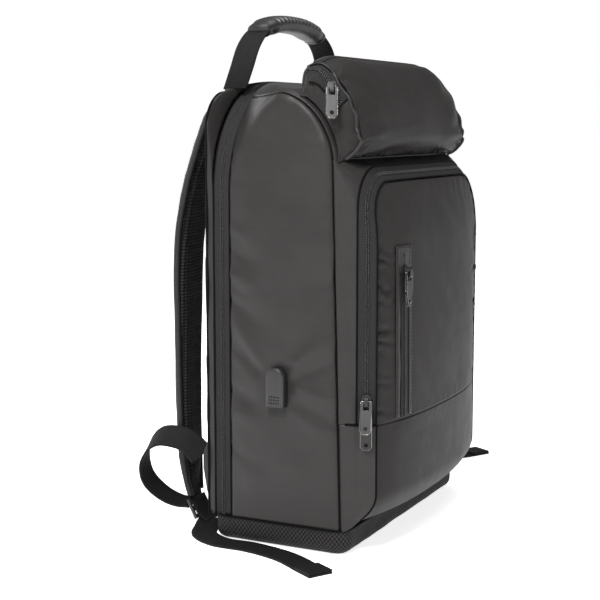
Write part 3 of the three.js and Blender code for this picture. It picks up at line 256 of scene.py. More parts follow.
def side_point(sign):
    def panel_edge(t):
        return edge_point(t, seam_angle(PROFILE.at(t).y) + slit_angle(t) * SEAM_TUCK, sign)

    top_z = panel_edge(0.01).z

    def point(u, v):
        front = panel_edge(max(0.01, u))
        y = lerp(front.y, ZIP_FRONT - SEAT, v)
        z = lerp(front.z, lerp(top_z, PANEL_FOOT, u), v)
        fit = abs(front.x) - half_width_at(front.y, front.z)
        return Vector((sign * (half_width_at(y, z) + fit * (1 - v)), y, z))

    return point


def top_point(across, t):
    corner = 0.16
    y = PROFILE.at(t).y
    reach = seam_angle(y) - slit_angle(t) * SEAM_TUCK
    if across < corner:
        return edge_point(t, reach * (1 - across / corner), -1)
    if across > 1 - corner:
        return edge_point(t, reach * (1 - (1 - across) / corner), 1)
    share = (across - corner) / (1 - 2 * corner) * 2 - 1
    p = PROFILE.at(t)
    return Vector(((HALF_WIDTH - edge_radius(y)) * share, p.y, p.z))


def arch(half, top, radius, foot, crown=0.0):
    """An inverted U in the plane of x and z, by even shares of its length."""
    straight = top - radius - foot
    bend = radius * math.pi / 2
    total = 2 * (straight + bend + half - radius)

    def at(s):
        sign = 1 if s > 0.5 else -1
        run = (1 - s if s > 0.5 else s) * total
        if run < straight:
            return sign * half, foot + run
        if run < straight + bend:
            a = (run - straight) / radius
            return sign * (half - radius + radius * math.cos(a)), top - radius + radius * math.sin(a)
        x = half - radius - (run - straight - bend)
        return sign * x, top + crown * (1 - (x / (half - radius)) ** 2)

    return at, total


def paired_arch(half, top, radius, foot, crown=0.0):
    """An inverted U whose stretches lie at the same shares in every arch."""
    side, bend = 0.3, 0.14

    def at(s):
        m = 1 - s if s > 0.5 else s
        sign = 1 if s > 0.5 else -1
        if m <= side:
            return sign * half, lerp(foot, top - radius, m / side)
        if m <= side + bend:
            a = (m - side) / bend * math.pi / 2
            return sign * (half - radius + radius * math.cos(a)), top - radius + radius * math.sin(a)
        share = 1 - (m - side - bend) / (0.5 - side - bend)
        return sign * (half - radius) * share, top + crown * (1 - share * share)

    return at


SEAM_X = edge_point(0.9, seam_angle(WALL_TOP_Y), 1).x
ZIP = paired_arch(ZIP_HALF, POCKET_TOP, POCKET_RADIUS, POCKET_SEAM)
FACE_RADIUS = POCKET_RADIUS * 0.875
FACE = paired_arch(FACE_HALF, FACE_TOP, FACE_RADIUS, POCKET_SEAM)


def front_wall_y(z):
    return lerp(WALL_TOP_Y, WALL_FOOT_Y, (ARCH_Z - z) / (ARCH_Z - PANEL_FOOT))


def root_y(z):
    return front_wall_y(min(z, ARCH_Z)) - SEAT - PIPING / 2 + 0.055 * max(z - ARCH_Z, 0)


def face_edge_y(z):
    return POCKET_FACE_Y + 5 * smooth(z, FACE_TOP - 60, FACE_TOP)


def foot_curl(z):
    share = clamp((POCKET_FOOT + 26 - z) / 26)
    return 16 * share * share


def face_half(z):
    up = z - (FACE_TOP - FACE_RADIUS)
    if up <= 0:
        return FACE_HALF
    return FACE_HALF - FACE_RADIUS + math.sqrt(max(FACE_RADIUS**2 - up**2, 0))


def face_y(x, z):
    """How far out the pocket's face stands at x, z."""
    half = face_half(min(z, FACE_TOP - SEAT))
    across = 1 - min(abs(x / half), 1) ** 2.6
    top = clamp((FACE_TOP - z) / 50)
    upward = math.sqrt(1 - (1 - top) ** 2)
    downward = smooth(FACE_TOP - z, 0, FACE_TOP - POCKET_SEAM)
    return face_edge_y(z) + foot_curl(z) - POCKET_BULGE * across * upward * lerp(0.8, 1, downward)


def pocket_band(first, first_y, second, second_y, low, high):
    def point(s, v):
        share = lerp(low, high, v)
        x0, z0 = first(s)
        x1, z1 = second(s)
        return Vector((lerp(x0, x1, share), lerp(first_y(z0), second_y(z1), share), lerp(z0, z1, share)))

    return point


# The roll of the top pouch in side view: shares of its depth and height.
POUCH_RISE = POUCH_CREST - POUCH_FOOT
POUCH_ROWS = [(0.09, 1.0), (0.42, 0.93), (0.79, 0.67), (1.0, 0.37), (1.03, 0.2), (0.84, 0.06), (0.62, 0.0)]
POUCH_LINE = [
    Vector((0, POUCH_BACK_Y - POUCH_ZIP + 4 - forward * 48, POUCH_FOOT + up * POUCH_RISE))
    for forward, up in POUCH_ROWS
]


def end_share(x):
    return clamp((abs(x) - POUCH_HALF + 45) / 45) ** 2


def pouch_point(v, x):
    p = smooth_point(POUCH_LINE, v)
    draw = end_share(x)
    high = smooth(v, 0, 0.1) * (1 - smooth(v, 0.75, 1))
    return Vector((x, p.y + 5 * draw * high, p.z - 7 * draw * (1 - smooth(v, 0.5, 1))))


def crest_at(x):
    return POUCH_CREST - 3 - 7 * end_share(x)


def body_top_at(y):
    return ARCH_Z + ARCH_DROP * math.sqrt(1 - ((y - SHOULDER_Y) / (SHOULDER_Y - WALL_TOP_Y)) ** 2)


POUCH_FOOT_Y = POUCH_BACK_Y + 3
POUCH_FOOT_Z = body_top_at(POUCH_FOOT_Y) + 2 * SEAT
END_FROM = next(i for i, p in enumerate(PROFILE_MARKS) if p.y < POUCH_FOOT_Y) / MARKS
END_TO = next(i for i, p in enumerate(PROFILE_MARKS) if p.z < POUCH_FOOT - CLOTH) / MARKS
END_RIM = [
    Vector((0, POUCH_FOOT_Y, POUCH_FOOT_Z + 2)),
    Vector((0, POUCH_BACK_Y - 1, crest_at(POUCH_HALF) - 3)),
] + [pouch_point(i / 6, POUCH_HALF) - Vector((POUCH_HALF, -0.6, 0.6)) for i in range(7)]


def pouch_end_point(sign):
    def point(u, v):
        t = lerp(END_FROM, END_TO, u)
        seam = edge_point(t, seam_angle(PROFILE.at(t).y) * 0.6, sign, CLOTH + 3 * SEAT)
        rim = smooth_point(END_RIM, u)
        bulge = 5 * math.sin(math.pi * v) * math.sin(math.pi * clamp(u * 1.2))
        x = lerp(seam.x, sign * (POUCH_HALF + CLOTH + SEAT), v) + sign * bulge
        return Vector((x, lerp(seam.y, rim.y, v), lerp(seam.z, rim.z, v)))

    return point


def surface_out(point, u, v, away):
    """The unit normal of a surface at u, v, on the side that faces away from a point."""
    step = 0.004
    du = point(min(u + step, 1), v) - point(max(u - step, 0), v)
    dv = point(u, min(v + step, 1)) - point(u, max(v - step, 0))
    normal = du.cross(dv).normalized()
    return normal if normal.dot(point(u, v) - away) > 0 else -normal


def ripple(*place, seed=0.0):
    """Soft even noise between about minus one and one."""
    x, y, z = (list(place) + [0.0, 0.0])[:3]
    return noise.noise(Vector((x + seed, y - seed * 0.7, z + seed * 1.3))) * 1.7


def crease(place, start, end, width, depth):
    """A soft ridge from start to end in a plane, or a trough where depth is negative."""
    ax, ay = place[0] - start[0], place[1] - start[1]
    bx, by = end[0] - start[0], end[1] - start[1]
    length = math.hypot(bx, by)
    along = (ax * bx + ay * by) / length
    across = (ay * bx - ax * by) / length
    share = along / length
    spread = width * lerp(0.7, 1.5, clamp(share))
    ends = smooth(along, -width, width * 0.6) * (1 - smooth(share, 0.55, 1.35))
    return depth * ends * math.exp(-((across / spread) ** 2))


def pucker(edge, run, seed, depth=0.7, reach=9.0, pitch=7.0, lean=0.5):
    """Gathers that a seam pulls into the cloth beside it, leaning away from it."""
    if edge > reach * 4:
        return 0.0
    fade = math.exp(-edge / reach) * smooth(edge, 0, 4.0)
    place = run + edge * lean
    strength = clamp(0.55 + 0.9 * ripple(place / (pitch * 3), seed=seed + 3), 0.1, 1.3)
    wander = ripple(place / (pitch * 2.5), edge / (reach * 2), seed=seed)
    wave = math.sin(place * math.pi / pitch + 2.6 * wander)
    return depth * fade * strength * (wave - 0.3 * wave * wave)


class Value:
    """A value in a finish's shader, which plain arithmetic turns into nodes."""

    def __init__(self, finish, socket):
        self.finish = finish
        self.socket = socket

    def __add__(self, other):
        return self.finish.sum("ADD", self, other)

    def __radd__(self, other):
        return self.finish.sum("ADD", other, self)

    def __sub__(self, other):
        return self.finish.sum("SUBTRACT", self, other)

    def __mul__(self, other):
        return self.finish.sum("MULTIPLY", self, other)

    def __truediv__(self, other):
        return self.finish.sum("DIVIDE", self, other)

    def __abs__(self):
        return self.finish.sum("ABSOLUTE", self)


class Finish:
    """One procedural finish of the bag. Constants are set on the shader's own sockets."""

    def __init__(self, name, constants):
        self.material = bpy.data.materials.new(name)
        self.material.use_nodes = True
        self.nodes = self.material.node_tree.nodes
        self.links = self.material.node_tree.links
        self.shader = next(n for n in self.nodes if n.type == "BSDF_PRINCIPLED")
        for socket, value in constants.items():
            self.shader.inputs[socket].default_value = value

    def node(self, kind, settings=None, inputs=None, output=0):
        made = self.nodes.new(kind)
        for key, value in (settings or {}).items():
            setattr(made, key, value)
        for key, value in (inputs or {}).items():
            self.feed(made.inputs[key], value)
        return Value(self, made.outputs[output])

    def feed(self, socket, value):
        if isinstance(value, Value):
            self.links.new(value.socket, socket)
        else:
            socket.default_value = value

    def sum(self, operation, *values):
        return self.node("ShaderNodeMath", {"operation": operation}, dict(enumerate(values)))

    def sine(self, value):
        return self.sum("SINE", value)

    def limited(self, value, low, high):
        inputs = {"Value": value, "From Min": low, "From Max": high}
        return self.node("ShaderNodeMapRange", {"interpolation_type": "SMOOTHSTEP"}, inputs)

    def place(self):
        return self.node("ShaderNodeTexCoord", output="Object")

    def weave(self):
        """The piece's own map as two values in millimetres: along it and across it."""
        both = self.node("ShaderNodeUVMap", {"uv_map": "weave"})
        parts = self.node("ShaderNodeSeparateXYZ", inputs={0: both})
        node = parts.socket.node
        return Value(self, node.outputs[0]) / MM, Value(self, node.outputs[1]) / MM

    def noise(self, scale, detail=2.0, vector=None):
        inputs = {"Vector": vector or self.place(), "Scale": scale, "Detail": detail}
        return self.node("ShaderNodeTexNoise", inputs=inputs)

    def stretched(self, vector, x, y, z):
        return self.node("ShaderNodeVectorMath", {"operation": "MULTIPLY"}, {0: vector, 1: (x, y, z)})

    def tint(self, dark, light, factor):
        """A mix of two colours. The mix node keeps its colour sockets at 6, 7 and 2."""
        inputs = {0: factor, 6: (*dark, 1.0), 7: (*light, 1.0)}
        return self.node("ShaderNodeMix", {"data_type": "RGBA"}, inputs, 2)

    def colour(self, value):
        self.feed(self.shader.inputs["Base Color"], value)

    def rough(self, value):
        self.feed(self.shader.inputs["Roughness"], value)

    def relief(self, height, distance):
        """Bump from a height, over a distance in millimetres."""
        inputs = {"Height": height, "Distance": distance * MM}
        self.feed(self.shader.inputs["Normal"], self.node("ShaderNodeBump", inputs=inputs))


def shade(colour, factor):
    return tuple(min(c * factor, 1.0) for c in colour)


FINISHES = {}

# The slot of each finish that has no slot of its own name.
SLOTS = {
    "ribbed_cloth": "coated_cloth",
    "face_cloth": "coated_cloth",
    "smooth_cloth": "coated_cloth",
    "piping": "webbing",
    "binding": "webbing",
    "thread": "zip_tape",
    "black_metal": "metal",
    "bright_metal": "metal",
}


def make_finishes(colours):
    """All finishes of the bag, from the colours of the panel."""
    turn = 2 * math.pi

    def woven(name, colour, roughness, pitch, relief, gloss=0.5, twill=0.0, spread=0.12):
        finish = Finish(name, {"Specular IOR Level": gloss})
        along, across = finish.weave()
        warp = finish.sine(along * (turn / pitch) + across * (turn / pitch * twill))
        weft = finish.sine(across * (turn / pitch) - along * (turn / pitch * twill))
        threads = (warp + weft) * 0.25 + 0.5
        cloud = finish.noise(9.0, 4.0)
        blotch = finish.noise(60.0, 3.0)
        streak = finish.noise(1.0, 2.0, finish.stretched(finish.place(), 26.0, 26.0, 620.0))
        weft_share = 0.1 + 0.6 * twill
        soft = cloud * 0.35 + blotch * 0.25 + streak * 0.4
        shade_by = finish.limited(soft * (1 - weft_share) + threads * weft_share, 0.3, 0.7)
        finish.colour(finish.tint(shade(colour, 1 - spread), shade(colour, 1 + spread), shade_by))
        finish.rough(roughness - 0.06 + blotch * 0.12)
        slack = finish.noise(45.0, 3.0)
        finish.relief(threads * relief + slack * 0.6, 1.0)
        return finish.material

    # Name, colour, roughness, thread pitch in millimetres, relief and gloss of each cloth.
    for name, colour, roughness, pitch, relief, gloss in (
        ("coated_cloth", colours.cloth, 0.43, 0.9, 0.03, 0.22),
        ("ribbed_cloth", colours.cloth, 0.46, 1.9, 0.07, 0.22),
        ("face_cloth", colours.cloth, 0.5, 0.9, 0.03, 0.07),
        ("smooth_cloth", shade(colours.cloth, 0.9), 0.46, 0.7, 0.02, 0.07),
        # Near-black piping. The same finish also colours the tubes and dots that are painted shade: the main
        # zip's edge lines, the face seam's shadow and the port's holes.
        ("piping", shade(colours.webbing, 0.3), 0.8, 1.2, 0.1, 0.1),
        ("binding", colours.binding, 0.5, 1.0, 0.12, 0.3),
        ("thread", shade(colours.tape, 1.2), 0.6, 0.8, 0.1, 0.3),
    ):
        FINISHES[name] = woven(name, colour, roughness, pitch, relief, gloss)
    FINISHES["base_cloth"] = woven("base_cloth", colours.base, 0.75, 4.2, 0.4, 0.15, 1.0, 0.75)
    FINISHES["webbing"] = woven("webbing", colours.webbing, 0.75, 2.0, 0.3, 0.2, 1.0, 0.35)

    tape = Finish("zip_tape", {"Specular IOR Level": 0.25})
    along, across = tape.weave()
    ribs = tape.sine(across * (turn / 1.5)) * 0.5 + 0.5
    chevron = tape.sine(along * (turn / 1.3) + abs(tape.sine(across * (turn / 6))) * 3) * 0.5 + 0.5
    mottle = tape.noise(240.0, 2.0)
    threads = ribs * 0.4 + chevron * 0.35 + mottle * 0.3
    tape.colour(tape.tint(shade(colours.tape, 0.3), shade(colours.tape, 2.0), threads))
    tape.rough(0.72 + mottle * 0.12)
    tape.relief(ribs * 0.2 + chevron * 0.14, 1.0)
    FINISHES["zip_tape"] = tape.material

    coil = Finish("zip_coil", {"Specular IOR Level": 0.5})
    coil.colour(coil.tint(shade(colours.coil, 0.8), shade(colours.coil, 1.25), coil.noise(180.0)))
    coil.rough(0.34 + coil.noise(90.0) * 0.14)
    coil.relief(coil.noise(900.0), 0.06)
    FINISHES["zip_coil"] = coil.material

    mesh = Finish("air_mesh", {"Specular IOR Level": 0.2})
    along, across = mesh.weave()
    first = mesh.sine((along + across * 0.7) * (turn / 6.4))
    second = mesh.sine((along - across * 0.7) * (turn / 6.4))
    net = mesh.limited(first * second, -0.25, 0.55)
    strands = mesh.noise(700.0, 2.0)
    # The colour follows the real net pattern. Its light end, seven times the mesh colour, is a painted
    # highlight on the strands, and its dark end, a tenth of it, is painted shade in the gaps.
    mesh.colour(mesh.tint(shade(colours.mesh, 0.1), shade(colours.mesh, 7.0), net * 0.8 + strands * 0.25))
    mesh.rough(0.75 + strands * 0.15)
    mesh.relief(net * 0.9 + strands * 0.15, 1.4)
    FINISHES["air_mesh"] = mesh.material

    # Name, colour, roughness, grain, relief and metal share of each moulded or cast finish.
    for name, colour, roughness, grain, relief, metal in (
        ("rubber", colours.rubber, 0.42, 1400.0, 0.05, 0.0),
        ("plastic", colours.plastic, 0.42, 2200.0, 0.03, 0.0),
        ("black_metal", shade(colours.slider, 0.3), 0.38, 900.0, 0.03, 0.1),
        ("bright_metal", shade(colours.metal, 0.4), 0.25, 900.0, 0.02, 1.0),
    ):
        finish = Finish(name, {"Metallic": metal})
        wear = finish.noise(70.0, 3.0)
        fine = finish.noise(grain)
        finish.colour(finish.tint(shade(colour, 0.85), shade(colour, 1.15), wear))
        finish.rough(roughness - 0.05 + wear * 0.1 + fine * 0.06)
        finish.relief(fine, relief)
        FINISHES[name] = finish.material


def show(name, bm, finish, body="bag", replaces=(), slot=None):
    """Puts a mesh into the scene as a named piece that rides on a body of the frame."""
    mesh = bpy.data.meshes.new(name)
    bm.to_mesh(mesh)
    bm.free()
    mesh.shade_smooth()
    mesh.materials.append(FINISHES[finish])
    piece = bpy.data.objects.new(name, mesh)
    bpy.context.scene.collection.objects.link(piece)
    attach(piece, body)
    if replaces:
        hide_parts(*replaces)
    slot or SLOTS.get(finish, finish)
    return piece


def give_wall(piece, thickness, sign=-1.0):
    """Gives a sheet its thickness, towards the inside."""
    wall = piece.modifiers.new("wall", "SOLIDIFY")
    wall.thickness = thickness * MM
    wall.offset = sign
    return piece


def grid(point, counts, lengths):
    """A sheet from a flat grid, bent to point(u, v). Its map holds millimetres along and across."""
    bm = bmesh.new()
    weave = bm.loops.layers.uv.new("weave")
    bmesh.ops.create_grid(bm, x_segments=counts[0], y_segments=counts[1], size=0.5)
    shares = [(v.co.x + 0.5, v.co.y + 0.5) for v in bm.verts]
    bm.verts.index_update()
    for face in bm.faces:
        for loop in face.loops:
            u, v = shares[loop.vert.index]
            loop[weave].uv = (u * lengths[0] * MM, v * lengths[1] * MM)
    for vert, (u, v) in zip(bm.verts, shares):
        vert.co = point(u, v) * MM
    bm.normal_update()
    return bm, shares


def face_away(bm, inside):
    """Turns the faces of a sheet away from a point inside, in millimetres."""
    lean = sum(f.normal.dot(f.calc_center_median() - inside * MM) for f in bm.faces)
    if lean < 0:
        bmesh.ops.reverse_faces(bm, faces=bm.faces[:])
        bm.normal_update()


def fold(bm, shares, folds):
    """Moves the points of a sheet along its normals by folds(u, v, place), in millimetres."""
    moves = [v.normal * (folds(s[0], s[1], v.co / MM) * MM) for v, s in zip(bm.verts, shares)]
    for vert, move in zip(bm.verts, moves):
        vert.co += move


def cloth(name, point, counts, lengths, inside, finish, replaces=(), folds=None, thickness=CLOTH, slot=None):
    """A sheet of cloth over point(u, v), with its folds and its thickness."""
    bm, shares = grid(point, counts, lengths)
    face_away(bm, inside)
    if folds:
        fold(bm, shares, folds)
    return give_wall(show(name, bm, finish, replaces=replaces, slot=slot), thickness)


def close_ends(bm, distance):
    """Joins the meeting edges of a rolled sheet and closes its two ends."""
    bmesh.ops.remove_doubles(bm, verts=bm.verts[:], dist=distance)
    bmesh.ops.holes_fill(bm, edges=[e for e in bm.edges if e.is_boundary])
    bmesh.ops.recalc_face_normals(bm, faces=bm.faces[:])


def tube(name, points, radius, finish, sides=10, replaces=(), body="bag"):
    """A round cord through points in millimetres."""
    count = len(points) - 1
    rings = []
    across = None
    for i, p in enumerate(points):
        along = (points[min(i + 1, count)] - points[max(i - 1, 0)]).normalized()
        if across is None:
            across = along.orthogonal().normalized()
        across = (across - along * across.dot(along)).normalized()
        rings.append((p, across, along.cross(across)))
    run = Route(points).length

    def point(u, v):
        p, a, b = rings[round(u * count)]
        angle = v * 2 * math.pi
        return p + (a * math.cos(angle) + b * math.sin(angle)) * radius

    bm, _ = grid(point, (count, sides), (run, 2 * math.pi * radius))
    close_ends(bm, radius * MM * 0.01)
    return show(name, bm, finish, body=body, replaces=replaces)


def add_block(bm, place, along, out, size):
    """A block in an open mesh. size is across, along and out, in millimetres."""
    across = along.cross(out).normalized()
    turn = Matrix((across, along.normalized(), across.cross(along).normalized())).transposed().to_4x4()
    scale = Matrix.Diagonal((*[s * MM for s in size], 1.0))
    bmesh.ops.create_cube(bm, size=1.0, matrix=Matrix.Translation(place * MM) @ turn @ scale)


def bevel(bm, edges, offset, segments=1, clamp_overlap=False):
    """Rounds edges by an offset in millimetres."""
    bmesh.ops.bevel(bm, geom=edges, offset=offset * MM, affect="EDGES", segments=segments,
                    profile=0.5, material=-1, clamp_overlap=clamp_overlap)


def teeth(name, route, out_at, proud, replaces=(), width=COIL):
    """A zip's coil: two rows of small blocks that reach past each other."""
    pitch = bpy.context.scene.bag_sizes.coil_pitch / MM
    bm = bmesh.new()
    count = int(route.length / pitch * 2)
    for i in range(count):
        share = (i + 0.5) / count
        along = route.along(share, 0.002)
        out = out_at(share)
        out = (out - along * out.dot(along)).normalized()
        across = along.cross(out)
        aside = width * 0.23 * (1 if i % 2 else -1)
        place = route.at(share) + across * aside + out * proud
        add_block(bm, place, along, out, (width * 0.4, pitch * 0.68, 1.1))
    bevel(bm, bm.edges[:], pitch * 0.14)
    show(name, bm, "zip_coil", replaces=replaces)


def stitches(name, route, pitch=3.4, length=2.5, thickness=0.5):
    """A row of stitches along a route on the front cloth."""
    bm = bmesh.new()
    count = max(int(route.length / pitch), 1)
    for i in range(count):
        share = (i + 0.5) / count
        along = route.along(share, 0.002)
        add_block(bm, route.at(share), along, FORWARD, (thickness, length, thickness))
    bevel(bm, bm.edges[:], thickness * 0.3)
    show(name, bm, "thread")


def node_mesh(node, join_flat=False):
    """A node of the frame as an open mesh with its doubled points merged."""
    bm = bmesh.new()
    bm.from_mesh(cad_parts[node].data)
    bmesh.ops.remove_doubles(bm, verts=bm.verts[:], dist=SAME_PLACE)
    if join_flat:
        bmesh.ops.dissolve_limit(bm, angle_limit=FLAT_ANGLE, verts=bm.verts[:], edges=bm.edges[:])
    else:
        bmesh.ops.recalc_face_normals(bm, faces=bm.faces[:])
    return bm


def hard_copy(name, node, finish, offset, body="bag"):
    """A rigid node again with its edges rounded."""
    bm = node_mesh(node, True)
    sharp = [e for e in bm.edges if e.is_manifold and e.calc_face_angle() > SHARP_ANGLE]
    bevel(bm, sharp, offset, 2, True)
    piece = show(name, bm, finish, body=body, replaces=(node,))
    weighted = piece.modifiers.new("normals", "WEIGHTED_NORMAL")
    weighted.keep_sharp = False


def edge_wires(name, node, body, radius):
    """Worn bright rims round the two flat faces of a puller."""
    bm = node_mesh(node)
    broad = max(bm.faces, key=lambda f: f.calc_area()).normal.copy()
    rims = [e for e in bm.edges if e.is_manifold
            and sum(abs(f.normal.dot(broad)) > 0.9 for f in e.link_faces) == 1]
    ahead = {}
    for edge in rims:
        for vert in edge.verts:
            ahead.setdefault(vert, []).append(edge.other_vert(vert))
    loops = []
    while ahead:
        vert = next(iter(ahead))
        loop = [vert]
        while vert in ahead:
            nexts = [v for v in ahead.pop(vert) if v in ahead]
            if not nexts:
                break
            vert = nexts[0]
            loop.append(vert)
        if len(loop) > 4:
            loops.append([v.co / MM for v in loop + [loop[0]]])
    loops.sort(key=lambda points: -sum((a - b).length for a, b in zip(points, points[1:])))
    bm.free()
    for i, loop in enumerate(loops[:2]):
        tube(f"{name}_{i + 1}", loop, radius, "bright_metal", 8, body=body)


def length(name, description, level):
    return bpy.props.FloatProperty(
        name=name, description=description, default=level * MM, subtype="DISTANCE", unit="LENGTH")


class BagSizes(bpy.types.PropertyGroup):
    """Sizes that change how the bag is sewn."""

    fold_depth: bpy.props.FloatProperty(
        name="Fold depth", description="How deep the soft folds of the panels are",
        default=1.5, min=0.0, max=4.0)
    pucker_depth: bpy.props.FloatProperty(
        name="Pucker depth", description="How deep the gathers beside the seams are",
        default=0.5, min=0.0, max=3.0)
    piping_radius: length("Piping radius", "Half the diameter of the piping in the side seams", 0.8)
    coil_pitch: length("Coil pitch", "The distance from one turn of a zip's coil to the next", 2.3)
    grip_slots: bpy.props.IntProperty(
        name="Grip slots", description="The number of slots across the top of the handle's grip",
        default=12, min=0, max=20)
    pad_swell: length("Pad swell", "How far the filling may push the cloth of a pad out", 3.5)


def tone(name, description, level):
    return bpy.props.FloatVectorProperty(
        name=name, description=description, default=level, subtype="COLOR", size=3, min=0.0, max=1.0)


class BagColours(bpy.types.PropertyGroup):
    """Colours of the bag's materials."""

    cloth: tone("Cloth", "Coated cloth of the panels", (0.0215, 0.02, 0.0195))
    base: tone("Base", "Coarse cloth of the base", (0.017, 0.016, 0.016))
    webbing: tone("Webbing", "Webbing of the loops and tails", (0.005, 0.0045, 0.0043))
    binding: tone("Binding", "Binding along the straps", (0.012, 0.012, 0.012))
    tape: tone("Zip tape", "Tape of the zips", (0.011, 0.0107, 0.0107))
    coil: tone("Zip coil", "Coil of the zips", (0.011, 0.011, 0.011))
    mesh: tone("Air mesh", "Mesh of the pads and straps", (0.005, 0.005, 0.005))
    rubber: tone("Grip", "Moulded grip of the handle", (0.011, 0.011, 0.011))
    plastic: tone("Plastic", "Port housing and ladder locks", (0.013, 0.013, 0.013))
    slider: tone("Sliders", "Body of the zip sliders", (0.012, 0.012, 0.012))
    metal: tone("Pullers", "Metal of the pullers", (0.45, 0.44, 0.43))


CAMERA_PLACE = (-1.246, -0.573, 0.402)
CAMERA_TURN = (math.radians(82.5), 0, math.radians(-63.5))
FLOOR_SIZE = 30
FLOOR_GLOW = 0.78
SKY = {"From Min": 0.12, "From Max": 0.25, "To Min": 1.0, "To Max": 0.2}

# Each lamp's name, place, target, size in metres and power in watts.
LAMPS = (
    ("key", (-1.4, -0.12, 1.75), (0, 0, 0.3), 0.6, 54),
    ("top", (0.2, -0.3, 2.5), (0, 0, 0.3), 1.8, 28),
    ("rear", (0.3, 2.4, 1.3), (0, 0, 0.25), 1.2, 22),
)


class BACKPACK_OT_stage(bpy.types.Operator):
    """Floor, lights and the camera at the photograph's angle"""

    bl_idname = "backpack.stage"
    bl_label = "Stage"

    def execute(self, context):
        scene = context.scene
        scene.view_settings.view_transform = "Standard"
        camera = bpy.data.objects.new("camera", bpy.data.cameras.new("camera"))
        camera.location = CAMERA_PLACE
        camera.rotation_euler = CAMERA_TURN
        camera.data.lens = 80.3
        camera.data.sensor_width = 36
        scene.collection.objects.link(camera)
        scene.camera = camera

        bm = bmesh.new()
        bmesh.ops.create_grid(bm, x_segments=1, y_segments=1, size=FLOOR_SIZE)
        mesh = bpy.data.meshes.new("floor")
        bm.to_mesh(mesh)
        bm.free()
        floor = bpy.data.objects.new("floor", mesh)
        scene.collection.objects.link(floor)
        glow = {"Emission Color": (1, 1, 1, 1), "Emission Strength": FLOOR_GLOW}
        pale = Finish("floor", {"Roughness": 0.9, "Specular IOR Level": 0.1, **glow})
        pale.colour(pale.tint((0.93, 0.93, 0.93), (0.95, 0.95, 0.95), pale.noise(2.0)))
        mesh.materials.append(pale.material)

        world = bpy.data.worlds.new("studio")
        world.use_nodes = True
        nodes, links = world.node_tree.nodes, world.node_tree.links
        sky = nodes["Background"]
        place = nodes.new("ShaderNodeTexCoord")
        height = nodes.new("ShaderNodeSeparateXYZ")
        fall = nodes.new("ShaderNodeMapRange")
        links.new(place.outputs["Generated"], height.inputs[0])
        links.new(height.outputs[2], fall.inputs["Value"])
        for name, value in SKY.items():
            fall.inputs[name].default_value = value
        links.new(fall.outputs[0], sky.inputs["Strength"])
        sky.inputs["Color"].default_value = (1, 1, 1, 1)
        scene.world = world
        for row in LAMPS:
            self.lamp(scene, *row)
        return {"FINISHED"}

    def lamp(self, scene, name, place, target, size, power):
        light = bpy.data.lights.new(name, "AREA")
        light.shape = "DISK"
        light.size = size
        light.energy = power
        lamp = bpy.data.objects.new(name, light)
        lamp.location = place
        lamp.rotation_euler = (Vector(target) - Vector(place)).to_track_quat("-Z", "Y").to_euler()
        scene.collection.objects.link(lamp)


SIDE_LENGTH = PROFILE.length
SIDE_WIDTH = ZIP_FRONT - WALL_FOOT_Y


class BACKPACK_OT_side_panels(bpy.types.Operator):
    """Both side panels with their soft folds, and the piping in their seams"""

    bl_idname = "backpack.side_panels"
    bl_label = "Side panels"

    def execute(self, context):
        sizes = context.scene.bag_sizes
        for side, sign in SIDES:
            seed = 3.0 if sign < 0 else 47.0

            def folds(u, v, p, sign=sign, seed=seed):
                edge_front = v * SIDE_WIDTH
                edge_back = (1 - v) * SIDE_WIDTH
                open_share = smooth(min(edge_front, edge_back), 0, 22) * smooth(p.z - PANEL_FOOT, 0, 26)
                lean = p.y * 0.76 + p.z * 0.64
                level = -p.y * 0.64 + p.z * 0.76
                soft = ripple(level / 34, lean / 95, seed=seed) * 0.5
                soft += ripple(p.y / 60, p.z / 80, seed=seed + 9) * 0.4
                soft += ripple(level / 13, lean / 60, seed=seed + 5) * 0.16
                move = soft * open_share * sizes.fold_depth
                for start, end, width, depth in SIDE_FOLDS[0 if sign < 0 else PORT_FOLDS:]:
                    move += crease((p.y, p.z), start, end, width * 1.3, depth * 1.2 * sizes.fold_depth)
                if sign < 0:
                    away = math.hypot((p.y - USB_Y) / 15, (p.z - USB_Z) / 25)
                    move -= 2.6 * math.exp(-(away**3))
                move += pucker(edge_front, u * SIDE_LENGTH, seed + 1, sizes.pucker_depth * 1.3, 8, 11)
                move += pucker(edge_back, p.z, seed + 2, sizes.pucker_depth * 1.5, 9, 10)
                move -= 1.3 * smooth(v, 0.975, 1.0) + 1.6 * (1 - smooth(v, 0.0, 0.024))
                return move

            cloth(f"{side}_side_cloth", side_point(sign), (170, 48), (SIDE_LENGTH, SIDE_WIDTH), MIDDLE,
                  "coated_cloth", (f"side_panel_{side}",), folds)
            shares = [clamp(share, 0.006) for share in even(120)]
            seam = [edge_point(t, seam_angle(PROFILE.at(t).y), sign, -1.2) for t in shares]
            tube(f"{side}_seam_piping", seam, sizes.piping_radius / MM, "piping", 10,
                 (f"seam_piping_{side}",))
        return {"FINISHED"}


# The first folds run to the port, so only the left panel has them.
PORT_FOLDS = 4

# Folds of the side panels: where they start and end (y, z), their width and depth.
SIDE_FOLDS = (
    ((12, 180), (45, 216), 6, 1.1),
    ((14, 170), (47, 202), 5, -1.2),
    ((-20, 180), (-60, 206), 6, 1.2),
    ((-22, 168), (-62, 188), 5, -1.2),
    ((-24, 158), (-62, 145), 5, 1.1),
    ((-22, 146), (-62, 127), 6, -1.1),
    ((-30, 132), (-60, 108), 6, 0.7),
    ((48, 236), (14, 212), 6, -0.9),
    ((48, 262), (20, 250), 5, 1.0),
    ((48, 284), (18, 270), 5, -0.9),
    ((48, 303), (26, 297), 5, 0.8),
    ((48, 150), (14, 138), 6, -0.9),
    ((48, 128), (8, 122), 7, 0.8),
    ((44, 92), (-16, 66), 9, -0.8),
    ((30, 58), (-30, 88), 9, 0.6),
    ((-62, 262), (-18, 246), 9, -0.8),
    ((-62, 286), (-10, 300), 11, 0.7),
    ((20, 352), (-40, 326), 12, -0.7),
    ((-54, 384), (-12, 372), 8, 0.6),
)


